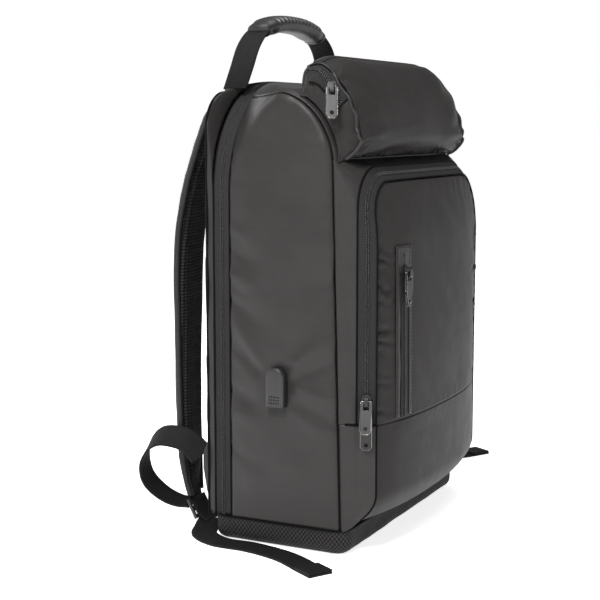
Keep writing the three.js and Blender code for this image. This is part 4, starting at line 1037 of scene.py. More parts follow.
class BACKPACK_OT_body_sheet(bpy.types.Operator):
    """The sheet over the top and down the front of the main compartment"""

    bl_idname = "backpack.body_sheet"
    bl_label = "Body sheet"

    def execute(self, context):
        sizes = context.scene.bag_sizes

        def folds(u, v, p):
            edge = min(u, 1 - u) * 2 * HALF_WIDTH
            soft = ripple(p.x / 60, v * 9, seed=21) * smooth(edge, 4, 40) * smooth(v, 0.0, 0.1)
            move = soft * 0.7 * sizes.fold_depth
            move += pucker(edge, v * SIDE_LENGTH, 33, sizes.pucker_depth * 1.1, 7, 10)
            return move - 1.2 * (1 - smooth(v, 0.0, 0.008)) - 1.5 * (1 - smooth(edge, 0, 2.6))

        cloth("body_cloth", top_point, (110, 120), (2 * HALF_WIDTH, SIDE_LENGTH), MIDDLE, "coated_cloth",
              ("body_front_panel",), folds)
        return {"FINISHED"}


def band_surface(half, top, radius, y0, y1):
    at, total = arch(half, top, radius, PANEL_FOOT)

    def point(s, v):
        x, z = at(s)
        return Vector((x, lerp(y0, y1, v), z))

    return point, total


class BACKPACK_OT_main_zip(bpy.types.Operator):
    """The main zip: two tapes sunk between the cloth's lips, the coil, and near-black tubes along its edges
    that paint the shade in the gaps
    """

    bl_idname = "backpack.main_zip"
    bl_label = "Main zip"

    def execute(self, context):
        tape_width = (BAND - COIL - 4 * SEAT) / 2
        half, top = HALF_WIDTH - 0.6, BODY_TOP - 0.6
        inside = Vector((0, ZIP_FRONT + BAND / 2, BODY_TOP / 2))
        front = ZIP_FRONT + SEAT
        rear = front + tape_width + COIL + 2 * SEAT
        for name, node, y0, y1 in (
            ("main_zip_tape_front", "main_zip_front_tape", front, front + tape_width + COIL / 2),
            ("main_zip_tape_rear", "main_zip_back_tape", rear - COIL / 2, rear + tape_width),
        ):
            point, total = band_surface(half, top, ZIP_RADIUS, y0, y1)

            def sag(u, v, p, y0=y0):
                return -0.7 + ripple(p.x / 40, p.z / 30, seed=y0) * 0.25

            cloth(name, point, (240, 6), (total, y1 - y0), inside, "zip_tape", (node,), sag, TAPE)
        coil_y = front + tape_width + SEAT + COIL / 2
        at, _ = arch(half - 0.2, top - 0.2, ZIP_RADIUS, PANEL_FOOT)
        outline = [at(share) for share in even(300)]
        route = Route([(x, coil_y, z) for x, z in outline])

        def out_at(share):
            return route.along(share, 0.002).cross(Vector((0, 1, 0))) * -1

        teeth("main_zip_teeth", route, out_at, 0.2, ("main_zip_coil",))
        # Near-black tubes sunk along both edges of the band: painted shade for the dark gaps where the cloth
        # meets the tapes.
        for name, y in (("front", ZIP_FRONT + 0.2), ("rear", rear + tape_width + 0.4)):
            line = []
            for x, z in outline:
                inset = math.copysign(0.6, x) if z < BODY_TOP - 20 else 0
                line.append(Vector((x - inset, y, z - 0.5)))
            tube(f"main_zip_edge_shade_{name}", line, 0.8, "piping", 6)
        return {"FINISHED"}


class BACKPACK_OT_wearer_side(bpy.types.Operator):
    """The rim behind the main zip and the flat panel towards the wearer"""

    bl_idname = "backpack.wearer_side"
    bl_label = "Wearer's side"

    def execute(self, context):
        edge = paired_arch(HALF_WIDTH, BODY_TOP, ZIP_RADIUS, PANEL_FOOT)
        outline = paired_arch(HALF_WIDTH, BODY_TOP - BACK_CROWN, BACK_RADIUS, PANEL_FOOT, BACK_CROWN)
        rim_y = ZIP_FRONT + BAND + 2 * SEAT

        def rim(s, v):
            x0, z0 = edge(s)
            x1, z1 = outline(s)
            return Vector((lerp(x0, x1, v), lerp(rim_y, WEARER, v), lerp(z0, z1, v)))

        def folds(u, v, p):
            soft = ripple(p.x / 30, p.z / 34, seed=61) * 1.3 * smooth(v, 0, 0.8)
            return soft - 0.8 * (1 - smooth(v, 0, 0.1))

        cloth("rim_cloth", rim, (220, 8), (1100, 12), Vector((0, rim_y, BODY_TOP / 2)), "coated_cloth",
              ("back_rim",), folds)
        at, _ = arch(HALF_WIDTH, BODY_TOP - BACK_CROWN, BACK_RADIUS, PANEL_FOOT, BACK_CROWN)
        panel_y = WEARER + SEAT + CLOTH

        def sheet(u, v):
            z = lerp(PANEL_FOOT, BODY_TOP, v)
            x = (u * 2 - 1) * HALF_WIDTH
            limit = BODY_TOP - BACK_CROWN - BACK_RADIUS
            half = HALF_WIDTH
            if z > limit:
                up = min((z - limit) / (BODY_TOP - limit), 1)
                half = HALF_WIDTH - (HALF_WIDTH - 4) * (1 - math.sqrt(max(1 - up**2.2, 0)))
            return Vector((x * half / HALF_WIDTH, panel_y, z))

        cloth("back_cloth", sheet, (60, 90), (2 * HALF_WIDTH, BODY_TOP), MIDDLE, "air_mesh",
              ("back_panel",), slot="coated_cloth")
        line = [Vector((x * 0.995, panel_y - 0.9, z)) for x, z in (at(share) for share in even(260))]
        tube("back_edge_binding", line, 1.3, "piping")
        return {"FINISHED"}


PAD_ROWS = ("hip", "waist", "upper", "shoulder")
PAD_FRAMES = 18
PAD_PRESSURE = 4.0
PAD_STIFFNESS = 12
PAD_SPREAD = 1.05


def swell(piece, reach):
    """Lets the filling push a pad's cloth out, by a short simulation with no gravity."""
    scene = bpy.context.scene
    bpy.context.view_layer.objects.active = piece
    start = [v.co.copy() for v in piece.data.vertices]
    filled = piece.modifiers.new("filling", "CLOTH")
    filled.settings.use_pressure = True
    filled.settings.uniform_pressure_force = PAD_PRESSURE
    filled.settings.effector_weights.gravity = 0.0
    filled.settings.tension_stiffness = PAD_STIFFNESS
    filled.settings.compression_stiffness = PAD_STIFFNESS
    filled.settings.quality = 4
    filled.collision_settings.use_collision = False
    filled.point_cache.frame_start = 1
    filled.point_cache.frame_end = PAD_FRAMES + 2
    for step in range(1, PAD_FRAMES + 1):
        scene.frame_set(step)
    graph = bpy.context.evaluated_depsgraph_get()
    shaped = [v.co.copy() for v in piece.evaluated_get(graph).data.vertices]
    piece.modifiers.remove(filled)
    scene.frame_set(1)
    for vert, a, b in zip(piece.data.vertices, start, shaped):
        move = b - a
        vert.co = a + (move.normalized() * min(move.length, reach) if move.length else move)


def padded_copy(name, node, reach, voxel, shrink, spread=1.0):
    """A soft node again as a filled pad of air mesh: remeshed, swollen and smoothed."""
    bm = node_mesh(node)
    bm.normal_update()
    for vert in bm.verts:
        vert.co -= vert.normal * (shrink * MM)
    bmesh.ops.scale(bm, vec=(spread, 1, 1), verts=bm.verts[:])
    piece = show(name, bm, "air_mesh", replaces=(node,))
    remesh = piece.modifiers.new("remesh", "REMESH")
    remesh.mode = "VOXEL"
    remesh.voxel_size = voxel * MM
    graph = bpy.context.evaluated_depsgraph_get()
    dense = bpy.data.meshes.new_from_object(piece.evaluated_get(graph))
    piece.modifiers.remove(remesh)
    piece.data = dense
    if not dense.materials:
        dense.materials.append(FINISHES["air_mesh"])
    swell(piece, reach)
    bm = bmesh.new()
    bm.from_mesh(piece.data)
    bmesh.ops.smooth_vert(bm, verts=bm.verts[:], factor=0.5, use_axis_x=True, use_axis_y=True,
                          use_axis_z=True)
    weave = bm.loops.layers.uv.get("weave") or bm.loops.layers.uv.new("weave")
    for face in bm.faces:
        face.smooth = True
        for loop in face.loops:
            loop[weave].uv = (loop.vert.co.z, loop.vert.co.x + loop.vert.co.y * 0.6)
    bm.to_mesh(piece.data)
    bm.free()
    soft = piece.modifiers.new("soft", "SUBSURF")
    soft.levels = soft.render_levels = 1


class BACKPACK_OT_back_pads(bpy.types.Operator):
    """Eight padded blocks of air mesh against the wearer's back"""

    bl_idname = "backpack.back_pads"
    bl_label = "Back pads"

    def execute(self, context):
        sizes = context.scene.bag_sizes
        for side in ("left", "right"):
            for name in PAD_ROWS:
                padded_copy(f"{side}_{name}_pad", f"back_pad_{name}_{side}", sizes.pad_swell, 5, 0.6,
                            PAD_SPREAD)
        return {"FINISHED"}


class BACKPACK_OT_base_tray(bpy.types.Operator):
    """The base of coarse cloth, with a pleat at its front corners"""

    bl_idname = "backpack.base_tray"
    bl_label = "Base"

    def execute(self, context):
        def outline(inset, z, share):
            half = HALF_WIDTH - inset
            front, back = BASE_FRONT + inset, BASE_BACK - inset
            radius = max(16 - inset, 4)
            ahead, behind = front + radius, back - radius
            corners = ((1, behind, 0), (-1, behind, 1), (-1, ahead, 2), (1, ahead, 3))
            path = []
            for sx, cy, quarter in corners:
                for turned in even(8):
                    a = (quarter + turned) * math.pi / 2
                    path.append((sx * (half - radius) + radius * math.cos(a), cy + radius * math.sin(a), z))
            path.append(path[0])
            return Route(path).at(share)

        rows = [(9, 0), (5.5, 0.9), (2.6, 2.8), (0.8, 5.6), (0, 9), (0, 14), (0, 19), (0, BASE_TOP - 1.2),
                (0.6, BASE_TOP), (1.6, BASE_TOP), (2, BASE_TOP - 2)]

        def tray(u, v):
            place = v * (len(rows) - 1)
            i = min(int(place), len(rows) - 2)
            inset, z = (lerp(rows[i][k], rows[i + 1][k], place - i) for k in (0, 1))
            return outline(inset, z, u)

        def folds(u, v, p):
            side = math.sin(math.pi * clamp(v * 1.3))
            move = ripple(p.x / 26, p.y / 26, p.z / 14, seed=71) * 0.5 * side
            for sign in (-1, 1):
                corner = math.hypot(p.x - sign * HALF_WIDTH, p.y - BASE_FRONT)
                move += 0.9 * math.exp(-((corner / 11) ** 2)) * math.sin(corner * 1.1) * side
            return min(move, 0.4)

        bm, shares = grid(tray, (300, 30), (2 * (2 * HALF_WIDTH + BASE_BACK - BASE_FRONT), 40))
        face_away(bm, Vector((0, 0, BASE_TOP / 2)))
        fold(bm, shares, folds)
        for vert in bm.verts:
            vert.co.z = max(vert.co.z, 0.0)
        bmesh.ops.remove_doubles(bm, verts=bm.verts[:], dist=SAME_PLACE / 2)
        under = [e for e in bm.edges if e.is_boundary and e.verts[0].co.z < MM]
        bmesh.ops.holes_fill(bm, edges=under)
        give_wall(show("base_cloth_tray", bm, "base_cloth", replaces=("base_tray",)), 1.6)
        rim = [outline(-0.4, BASE_TOP + 0.1, share) for share in even(240)]
        tube("base_seam", rim, 1.0, "piping", 8)
        return {"FINISHED"}


POCKET_RUN = 700
POCKET_INSIDE = Vector((0, (POCKET_ZIP_Y + WALL_FOOT_Y) / 2, POCKET_TOP / 2))


def pocket_zip_y(z):
    return POCKET_ZIP_Y


class BACKPACK_OT_front_pocket(bpy.types.Operator):
    """The front compartment: its gusset, lower sides and two face panels"""

    bl_idname = "backpack.front_pocket"
    bl_label = "Front compartment"

    def execute(self, context):
        sizes = context.scene.bag_sizes
        inside = POCKET_INSIDE

        def gusset_folds(u, v, p):
            edge = min(v, 1 - v) * 14
            move = ripple(p.z / 30, p.x / 30, v * 1.5, seed=81) * 0.7 * math.sin(math.pi * v)
            move += pucker(edge, u * POCKET_RUN, 82, sizes.pucker_depth * 0.7, 4, 8)
            return move - 0.8 * smooth(v, 0.9, 1)

        square = paired_arch(SEAM_X, ROOT_TOP, POCKET_RADIUS * 0.15, POCKET_SEAM)
        band = pocket_band(square, root_y, ZIP, pocket_zip_y, -0.1, 1.0)

        def gusset(s, v):
            p = band(s, v)
            back = 4.4 * smooth(abs(p.x), SEAM_X - 14, SEAM_X - 3) * (1 - v) ** 1.5
            return p + Vector((math.copysign(0.5 * (1 - v), p.x), back, 0))

        cloth("gusset_cloth", gusset, (260, 14), (POCKET_RUN, 16), inside, "ribbed_cloth",
              ("pocket_gusset",), gusset_folds)

        for side, sign in SIDES:
            def lower(u, v, sign=sign):
                z = lerp(lerp(BASE_TOP, POCKET_FOOT, v * v), POCKET_SEAM - SEAT, u)
                x = lerp(SEAM_X, FACE_HALF, v) + 1.5 * math.sin(math.pi * v)
                root = root_y(z) + 4.4
                return Vector((sign * (x + 0.5 * (1 - v)), lerp(root, POCKET_FACE_Y + foot_curl(z), v), z))

            def side_folds(u, v, p, sign=sign):
                pinch = math.exp(-(((v - 0.52) * 28) / 2.4) ** 2)
                soft = ripple(p.z / 26, v * 2, seed=90 + sign) * 0.7 * math.sin(math.pi * v)
                return soft - 1.1 * pinch * smooth(u, 0.04, 0.2)

            cloth(f"{side}_lower_side_cloth", lower, (60, 26), (92, 28), inside, "coated_cloth",
                  (f"pocket_side_lower_{side}",), side_folds)

        def upper(u, v):
            z = lerp(POCKET_SEAM + SEAT, FACE_TOP - SEAT, u)
            x = (v * 2 - 1) * (face_half(z) + SEAT)
            return Vector((x, face_y(x, z), z))

        def upper_folds(u, v, p):
            side = face_half(min(p.z, FACE_TOP - 1)) - abs(p.x)
            top = FACE_TOP - p.z
            rise = p.z - POCKET_SEAM
            edge = max(min(side, top), 0)
            soft = ripple(p.x / 60, p.z / 75, seed=101) * 0.5
            soft += ripple((p.x + p.z) / 34, (p.x - p.z) / 80, seed=103) * 0.3
            move = soft * smooth(edge, 3, 34) * smooth(rise, 0, 24) * sizes.fold_depth
            depth = sizes.pucker_depth * 7.0 * (1 - smooth(rise, 150, 200) * 0.6)
            move += pucker(side, p.z, 105, depth, 11, 6.5, 0.25) * smooth(rise, 0, 12)
            move += pucker(top, p.x, 107, sizes.pucker_depth * 1.6 * smooth(p.x, -60, 90), 16, 11, 0.8)
            move += pucker(rise, p.x, 109, sizes.pucker_depth * 1.2, 7, 9)
            return move - 1.8 * (1 - smooth(edge, 0, 3.0))

        cloth("upper_face_cloth", upper, (110, 120), (224, 2 * FACE_HALF), inside, "face_cloth",
              ("pocket_upper_panel",), upper_folds)
        under_y = WALL_FOOT_Y - SEAT

        def lower_face(u, v):
            z = lerp(POCKET_SEAM - SEAT, POCKET_FOOT, min(u / 0.75, 1))
            x = (v * 2 - 1) * (FACE_HALF + SEAT)
            y = face_y(x, z)
            if u <= 0.75:
                return Vector((x, y, z))
            under = (u - 0.75) / 0.25
            return Vector((x, lerp(y, under_y, under), POCKET_FOOT - 5 * math.sin(under * math.pi / 2)))

        def lower_folds(u, v, p):
            side = FACE_HALF - abs(p.x)
            soft = ripple(p.x / 80, p.z / 50, seed=111) * 0.8
            drop = POCKET_SEAM - p.z
            soft *= smooth(side, 3, 30) * smooth(drop, 0, 20) * (1 - smooth(u, 0.6, 0.8))
            return soft * sizes.fold_depth + pucker(drop, p.x, 113, sizes.pucker_depth * 0.6, 6, 10)

        cloth("lower_face_cloth", lower_face, (64, 120), (130, 2 * FACE_HALF),
              Vector((0, POCKET_ZIP_Y, POCKET_SEAM)), "smooth_cloth", ("pocket_lower_panel",), lower_folds)
        self.trims()
        return {"FINISHED"}

    def trims(self):
        """Piping round the face, and a near-black tube across its middle that paints the seam's shadow."""
        for name, path, y_at, out in (("outer", ZIP, pocket_zip_y, 0.3), ("face", FACE, face_edge_y, -0.2)):
            line = [Vector((x, y_at(z) + out, z)) for x, z in (path(share) for share in even(260))]
            tube(f"pocket_{name}_piping", line, 0.8, "piping", 8)
        # A near-black tube sunk into the seam across the face: the painted shadow of the seam.
        across = []
        for share in even(160):
            x = lerp(-FACE_HALF + 1, FACE_HALF - 1, share)
            across.append(Vector((x, face_y(x, POCKET_SEAM) + 0.9, POCKET_SEAM)))
        tube("face_seam_shadow", across, 0.8, "piping", 6)
        for side, sign in SIDES:
            low = []
            for share in even(20):
                x = lerp(SEAM_X, FACE_HALF, share) + 1.5 * math.sin(math.pi * share) - 0.7
                low.append(Vector((sign * x, lerp(root_y(POCKET_SEAM), POCKET_FACE_Y, share), POCKET_SEAM)))
            tube(f"{side}_side_seam", low, 0.8, "piping", 6)
            edge = []
            for share in even(40):
                z = lerp(POCKET_FOOT, POCKET_SEAM, share)
                edge.append(Vector((sign * (FACE_HALF - 0.7), POCKET_FACE_Y + foot_curl(z) - 0.1, z)))
            tube(f"{side}_corner_piping", edge, 1.1, "piping", 8)


class BACKPACK_OT_pocket_zip(bpy.types.Operator):
    """The zip round the front compartment"""

    bl_idname = "backpack.pocket_zip"
    bl_label = "Pocket zip"

    def execute(self, context):
        def band(low, high):
            return pocket_band(ZIP, pocket_zip_y, FACE, face_edge_y, low, high)

        for name, low, high in (("outer", 0.0, 0.5), ("inner", 0.5, 1.0)):
            cloth(f"pocket_tape_{name}", band(low, high), (260, 6), (POCKET_RUN, 8), POCKET_INSIDE,
                  "zip_tape", (f"pocket_zip_{name}_tape",), lambda u, v, p: -0.5, TAPE)
        stations = even(400)
        middle, across = band(0.5, 0.5), band(0, 1)
        route = Route([middle(s, 0) for s in stations])
        outs = [surface_out(across, s, 0.5, POCKET_INSIDE) for s in stations]

        def out_at(share):
            place = clamp(share) * route.length
            return outs[min(bisect.bisect_left(route.run, place), len(outs) - 1)]

        teeth("pocket_zip_teeth", route, out_at, 0.1, ("pocket_zip_coil",))
        return {"FINISHED"}


class BACKPACK_OT_welt_pocket(bpy.types.Operator):
    """The welt pocket on the face: a stitched frame with a zip in its window"""

    bl_idname = "backpack.welt_pocket"
    bl_label = "Welt pocket"

    def execute(self, context):
        low = POCKET_SEAM + 3
        bar = (WELT_WIDTH - WELT_ZIP) / 2 - 2 * SEAT
        left, right = WELT_X - WELT_WIDTH / 2, WELT_X + WELT_WIDTH / 2
        behind = Vector((WELT_X, 0, WELT_TOP))

        def on_face(x, z, proud):
            return Vector((x, face_y(x, z) - proud, z))

        def strip(x0, x1, z0, z1, proud):
            def point(u, v):
                crown = 0.5 * math.sin(math.pi * v)
                return on_face(lerp(x0, x1, v), lerp(z0, z1, u), proud + crown)
            return point

        def flap(u, v):
            narrow = lerp(0.7, 0, smooth(u, 0, 0.8))
            x = lerp(left + bar - 1, right - bar + 1, lerp(v, lerp(0.06, 0.94, v), narrow))
            crown = 1.1 * math.sin(math.pi * v) * (1 - u * 0.8)
            return on_face(x, lerp(WELT_TOP - 26, WELT_TOP, u), 1.1 + crown)

        def soft(u, v, p):
            return ripple(p.x / 12, p.z / 18, seed=121) * 0.25

        cloth("welt_frame_left", strip(left, left + bar, low, WELT_TOP, 1.0), (70, 8), (160, bar), behind,
              "coated_cloth", ("welt_frame",), soft, 1.0)
        cloth("welt_frame_right", strip(right - bar, right, low, WELT_TOP, 0.9), (70, 8), (160, bar), behind,
              "coated_cloth", (), soft, 1.0)
        cloth("welt_frame_top", flap, (24, 14), (26, WELT_ZIP), behind, "coated_cloth", (), soft, 1.0)
        tape = strip(WELT_X - WELT_ZIP / 2, WELT_X + WELT_ZIP / 2, low, WELT_TOP - bar, 0.9)
        cloth("welt_tape", tape, (70, 10), (150, WELT_ZIP), behind, "zip_tape", ("welt_zip_tape",),
              None, 0.8)

        def upright(x, top, proud, count):
            return [on_face(x, lerp(low, top, share), proud) for share in even(count)]

        line = Route(upright(WELT_X, WELT_TOP - bar - 1, 1.6, 60))
        teeth("welt_teeth", line, lambda share: FORWARD, 0.1, width=3.4)
        for name, x in (("left", left + 1.6), ("right", right - 1.6)):
            stitches(f"welt_stitch_{name}", Route(upright(x, WELT_TOP - 2, 1.6, 50)))
        top = [on_face(lerp(left + 1.6, right - 1.6, share), WELT_TOP - 2, 1.7) for share in even(10)]
        stitches("welt_stitch_top", Route(top))
        for name, x in (("left", left + bar), ("right", right - bar)):
            tube(f"welt_edge_{name}", upright(x, WELT_TOP - 24, 0.7, 50), 0.6, "piping", 6)
        return {"FINISHED"}


POUCH_RUN = 130

# Folds of the pouch near its ends: where they start and end (x, run round the roll), width and depth.
POUCH_FOLDS = (
    ((131, 30), (98, 44), 4, -1.1),
    ((131, 44), (90, 62), 5, 1.0),
    ((131, 62), (96, 74), 4, -1.2),
    ((131, 80), (84, 84), 5, 0.9),
    ((131, 96), (92, 92), 4, -1.1),
    ((131, 112), (70, 100), 6, 0.9),
    ((120, 122), (40, 108), 5, -0.9),
    ((60, 124), (-10, 112), 6, 0.7),
    ((110, 10), (60, 26), 7, 0.6),
)


class BACKPACK_OT_pouch(bpy.types.Operator):
    """The top pouch: a gathered roll with end panels and a zip along its crest"""

    bl_idname = "backpack.pouch"
    bl_label = "Top pouch"

    def execute(self, context):
        sizes = context.scene.bag_sizes
        inside = Vector((0, POUCH_BACK_Y - POUCH_ZIP, (POUCH_FOOT + POUCH_CREST) / 2))

        def shell(u, v):
            return pouch_point(v, lerp(-POUCH_HALF, POUCH_HALF, u))

        def folds(u, v, p):
            end = POUCH_HALF - abs(p.x)
            around = v * POUCH_RUN
            long = ripple(p.x / 62, around / 15, seed=133) * 0.6
            long *= smooth(end, 4, 40) * smooth(v, 0.35, 0.7)
            broad = ripple(p.x / 60, around / 50, seed=135) * 0.5
            edge = min(around, POUCH_RUN - around)
            move = (long + broad) * sizes.fold_depth * 0.8 * smooth(edge, 0, 12)
            for start, stop, width, depth in POUCH_FOLDS:
                move += crease((abs(p.x), around), start, stop, width, depth * 0.8 * sizes.fold_depth)
            move += pucker(end, around, 131, sizes.pucker_depth * 4.4, 8, 5, 0.4) * smooth(v, 0.12, 0.3)
            return move + pucker(POUCH_RUN - around, p.x, 137, sizes.pucker_depth * 3.4, 11, 8)

        cloth("pouch_roll_cloth", shell, (190, 84), (2 * POUCH_HALF, POUCH_RUN), inside, "face_cloth",
              ("pouch_shell",), folds)

        def back(u, v):
            x = lerp(-POUCH_HALF, POUCH_HALF, u)
            top = crest_at(x) - TAPE - 3 * SEAT
            return Vector((x, lerp(POUCH_FOOT_Y, POUCH_BACK_Y, v), lerp(POUCH_FOOT_Z, top, v)))

        def back_folds(u, v, p):
            return ripple(p.x / 24, v * 3, seed=141) * math.sin(math.pi * v)

        cloth("pouch_back_cloth", back, (130, 14), (2 * POUCH_HALF, 32), inside, "coated_cloth",
              ("pouch_back",), back_folds)

        def tape(u, v):
            x = lerp(-POUCH_HALF, POUCH_HALF, u)
            front = pouch_point(0, x)
            crown = 2 * math.sin(math.pi * v)
            return Vector((x, lerp(POUCH_BACK_Y, front.y + SEAT, v), lerp(crest_at(x), front.z, v) + crown))

        cloth("pouch_tape", tape, (130, 10), (2 * POUCH_HALF, POUCH_ZIP), inside, "zip_tape",
              ("pouch_zip_tape",), None, TAPE)
        crest = Route([tape(share, 0.5) + UP * 0.3 for share in even(120)])
        teeth("pouch_zip_teeth", crest, lambda share: UP, 0.1)
        for name, v in (("front", 0.97), ("rear", 0.03)):
            line = [tape(share, v) - UP * 0.4 for share in even(120)]
            tube(f"pouch_zip_lip_{name}", line, 0.9, "piping", 6)

        for side, sign in SIDES:
            point = pouch_end_point(sign)

            def end_folds(u, v, p):
                gather = ripple(u * 15, v * 1.4, seed=145) * 1.6 * v**1.5 * smooth(1 - v, 0, 0.08)
                seam = ripple(u * 12, v * 2, seed=147) * 0.9 * (1 - v) * smooth(v, 0, 0.1)
                return (gather + seam) * sizes.fold_depth * 0.6

            cloth(f"{side}_pouch_end_cloth", point, (90, 40), (120, 50), inside, "face_cloth",
                  (f"pouch_end_{side}",), end_folds)
            ruffle = []
            for share in even(180):
                swing = smooth(share, 0.3, 0.5) * ripple(share * 17, 0.3 * sign, seed=151)
                lift = smooth(share, 0.3, 0.5) * (0.8 + ripple(share * 13, seed=153))
                move = Vector((sign * (0.6 + 1.7 * lift), -1.6 * swing, 1.4 * swing))
                ruffle.append(point(share, 0.985) + move)
            tube(f"{side}_pouch_end_seam", ruffle, 1.7, "coated_cloth", 8)
        self.end_zip(inside)
        return {"FINISHED"}

    def end_zip(self, inside):
        """The zip that turns down over the left end."""
        panel = pouch_end_point(-1)

        def strip(u, v, proud=TAPE + 2 * SEAT):
            pu, pv = lerp(0.17, 0.5, u), lerp(0.5, 0.97, v)
            return panel(pu, pv) + surface_out(panel, pu, pv, inside) * proud

        cloth("pouch_end_tape", strip, (40, 16), (50, 24), inside, "zip_tape", ("pouch_zip_end_tape",),
              None, TAPE)
        line = Route([strip(share, lerp(0.8, 0.4, share), TAPE + 5 * SEAT) for share in even(60)])

        def out_at(share):
            return surface_out(panel, lerp(0.17, 0.5, share), lerp(0.88, 0.69, share), inside)

        teeth("pouch_end_teeth", line, out_at, 0.3)
        for name, v in (("upper", 0.03), ("lower", 0.97)):
            tube(f"pouch_end_lip_{name}", [strip(share, v) for share in even(40)], 0.8, "piping", 6)


# The handle from its foot to its crown: share of its span, and of its rise.
HANDLE_ROWS = ((-0.5, 0.0), (-0.485, 0.3), (-0.43, 0.62), (-0.33, 0.84), (-0.17, 0.97), (0, 1.0))
GRIP_SPAN = 128.0
GRIP_WIDTH = 30.0
GRIP_THICK = 17.0
SLOT_DEPTH = 2.4
SLOTS_FROM = 0.14
SLOTS_SPAN = 0.72


def handle_route():
    outline = HALF_WIDTH - BACK_RADIUS
    foot = BODY_TOP - BACK_CROWN + BACK_CROWN * (1 - (HANDLE_SPAN / 2 / outline) ** 2) + 3 * SEAT
    crown = HANDLE_TOP - GRIP_THICK / 2
    half = []
    for x, rise in HANDLE_ROWS:
        y = lerp(WEARER - 3, HANDLE_Y, min(rise * 2.5, 1))
        half.append(Vector((x * HANDLE_SPAN, y, foot + rise * (crown - foot))))
    whole = half + [Vector((-p.x, p.y, p.z)) for p in reversed(half[:-1])]
    return smooth_route(whole, 300)


class BACKPACK_OT_handle(bpy.types.Operator):
    """The carrying handle: webbing at both ends and a slotted grip between"""

    bl_idname = "backpack.handle"
    bl_label = "Handle"

    def execute(self, context):
        sizes = context.scene.bag_sizes
        route = handle_route()
        grip_from = next(share for share in even(1000) if route.at(share).x >= -GRIP_SPAN / 2)
        side = Vector((0, 1, 0))
        for name, low, high in (("left", 0.0, grip_from + 0.01), ("right", 0.99 - grip_from, 1.0)):
            def strap(u, v, low=low, high=high):
                share = lerp(low, high, u)
                up = route.along(share).cross(side)
                across = lerp(-WEBBING_WIDTH / 2, WEBBING_WIDTH / 2, v)
                return route.at(share) + side * across - up * (1 - (2 * v - 1) ** 6) * 0.3

            bm, _ = grid(strap, (60, 14), (70, WEBBING_WIDTH))
            face_away(bm, Vector((0, HANDLE_Y, BODY_TOP)))
            piece = show(f"{name}_handle_webbing", bm, "webbing", replaces=(f"handle_webbing_{name}",))
            give_wall(piece, WEBBING, 0.0)

        def grip(u, v):
            share = lerp(grip_from, 1 - grip_from, u)
            end = min(u, 1 - u)
            full = lerp(0.8, 1, smooth(end, 0.02, 0.14))
            collar = 1 + 0.07 * (smooth(end, 0.0, 0.012) - smooth(end, 0.035, 0.047))
            up = route.along(share).cross(side)
            angle = v * 2 * math.pi
            flat = math.copysign(abs(math.cos(angle)) ** 0.7, math.cos(angle))
            slot = 0.0
            if sizes.grip_slots and SLOTS_FROM < u < SLOTS_FROM + SLOTS_SPAN and math.sin(angle) > -0.2:
                phase = (u - SLOTS_FROM) / SLOTS_SPAN * sizes.grip_slots
                groove = smooth(abs(phase - int(phase) - 0.5), 0.14, 0.3)
                slot = (1 - groove) * SLOT_DEPTH * smooth(math.sin(angle), -0.05, 0.3)
            tall = math.sin(angle) * GRIP_THICK / 2
            return (route.at(share) + side * flat * GRIP_WIDTH / 2 * full * collar
                    + up * (tall * full * collar - slot))

        bm, _ = grid(grip, (260, 48), (GRIP_SPAN, 78))
        close_ends(bm, SAME_PLACE / 2)
        show("moulded_grip", bm, "rubber", replaces=("handle_grip",))
        return {"FINISHED"}


# Shoulder strap rows: out, up, x and width as shares of the full strap.
STRAP_ROWS = (
    (0.089, 0.9703, 0.86, 0.9), (0.232, 0.948, 0.88, 0.95), (0.411, 0.9086, 0.9, 1),
    (0.607, 0.8396, 0.93, 1.05), (0.804, 0.7557, 0.97, 1.1), (0.946, 0.6601, 1, 1.12),
    (1, 0.5539, 1.01, 1.1), (1, 0.437, 1.02, 1.02), (1, 0.3202, 1.03, 0.95),
    (0.982, 0.2033, 1.04, 0.88), (0.929, 0.0971, 1.06, 0.8), (0.875, 0.044, 1.08, 0.68),
    (0.804, 0, 1.1, 0.5),
)
STRAP_WIDTH = 62.0


def strap_station(sign, t):
    """The middle, the sideways direction and the width of a strap."""
    line = [Vector((sign * x * STRAP_X, WEARER + out * STRAP_REACH, lerp(STRAP_FOOT, BODY_TOP, up)))
            for out, up, x, _ in STRAP_ROWS]
    place = t * (len(STRAP_ROWS) - 1)
    i = min(int(place), len(STRAP_ROWS) - 2)
    width = lerp(STRAP_ROWS[i][3], STRAP_ROWS[i + 1][3], place - i)
    twist = math.radians(10) * smooth(t, 0.1, 0.4)
    across = Vector((-sign * math.cos(twist), math.sin(twist), 0))
    return smooth_point(line, t), across, width * STRAP_WIDTH


class BACKPACK_OT_shoulder_straps(bpy.types.Operator):
    """Two padded shoulder straps with bound edges"""

    bl_idname = "backpack.shoulder_straps"
    bl_label = "Shoulder straps"

    def execute(self, context):
        sizes = context.scene.bag_sizes
        for side, sign in SIDES:
            node = f"shoulder_strap_{side}"
            padded_copy(f"{side}_strap_pad", node, sizes.pad_swell * 0.5, 4.5, 0.8)
            for edge, name in ((-1, "inner"), (1, "outer")):
                line = []
                for share in even(100):
                    middle, across, width = strap_station(sign, lerp(0.01, 0.99, share))
                    line.append(middle + across * edge * (width / 2 - 2.4))
                tube(f"{side}_strap_binding_{name}", line, 3.4, "binding", 12)
        return {"FINISHED"}


LOCK_X = STRAP_X * 1.1 + 2
LOCK_OUT = STRAP_REACH * 0.804 - 5.5
LOCK_Z = STRAP_FOOT - 11
LOOP_REACH = 87.0
LOOP_TOP = 94.0

# The webbing loop: shares across, out and up from the ladder lock.
LOOP_ROWS = (
    (0.174, -0.5368, 0.8101), (0.196, -0.2, 0.962), (0.217, 0.1368, 1), (0.261, 0.5158, 0.9747),
    (0.304, 0.7895, 0.8608), (0.348, 0.9579, 0.6962), (0.391, 1, 0.5316), (0.457, 0.9579, 0.3797),
    (0.565, 0.8105, 0.2405), (0.696, 0.6, 0.1266), (0.826, 0.3895, 0.0633), (0.935, 0.2084, 0.038),
)

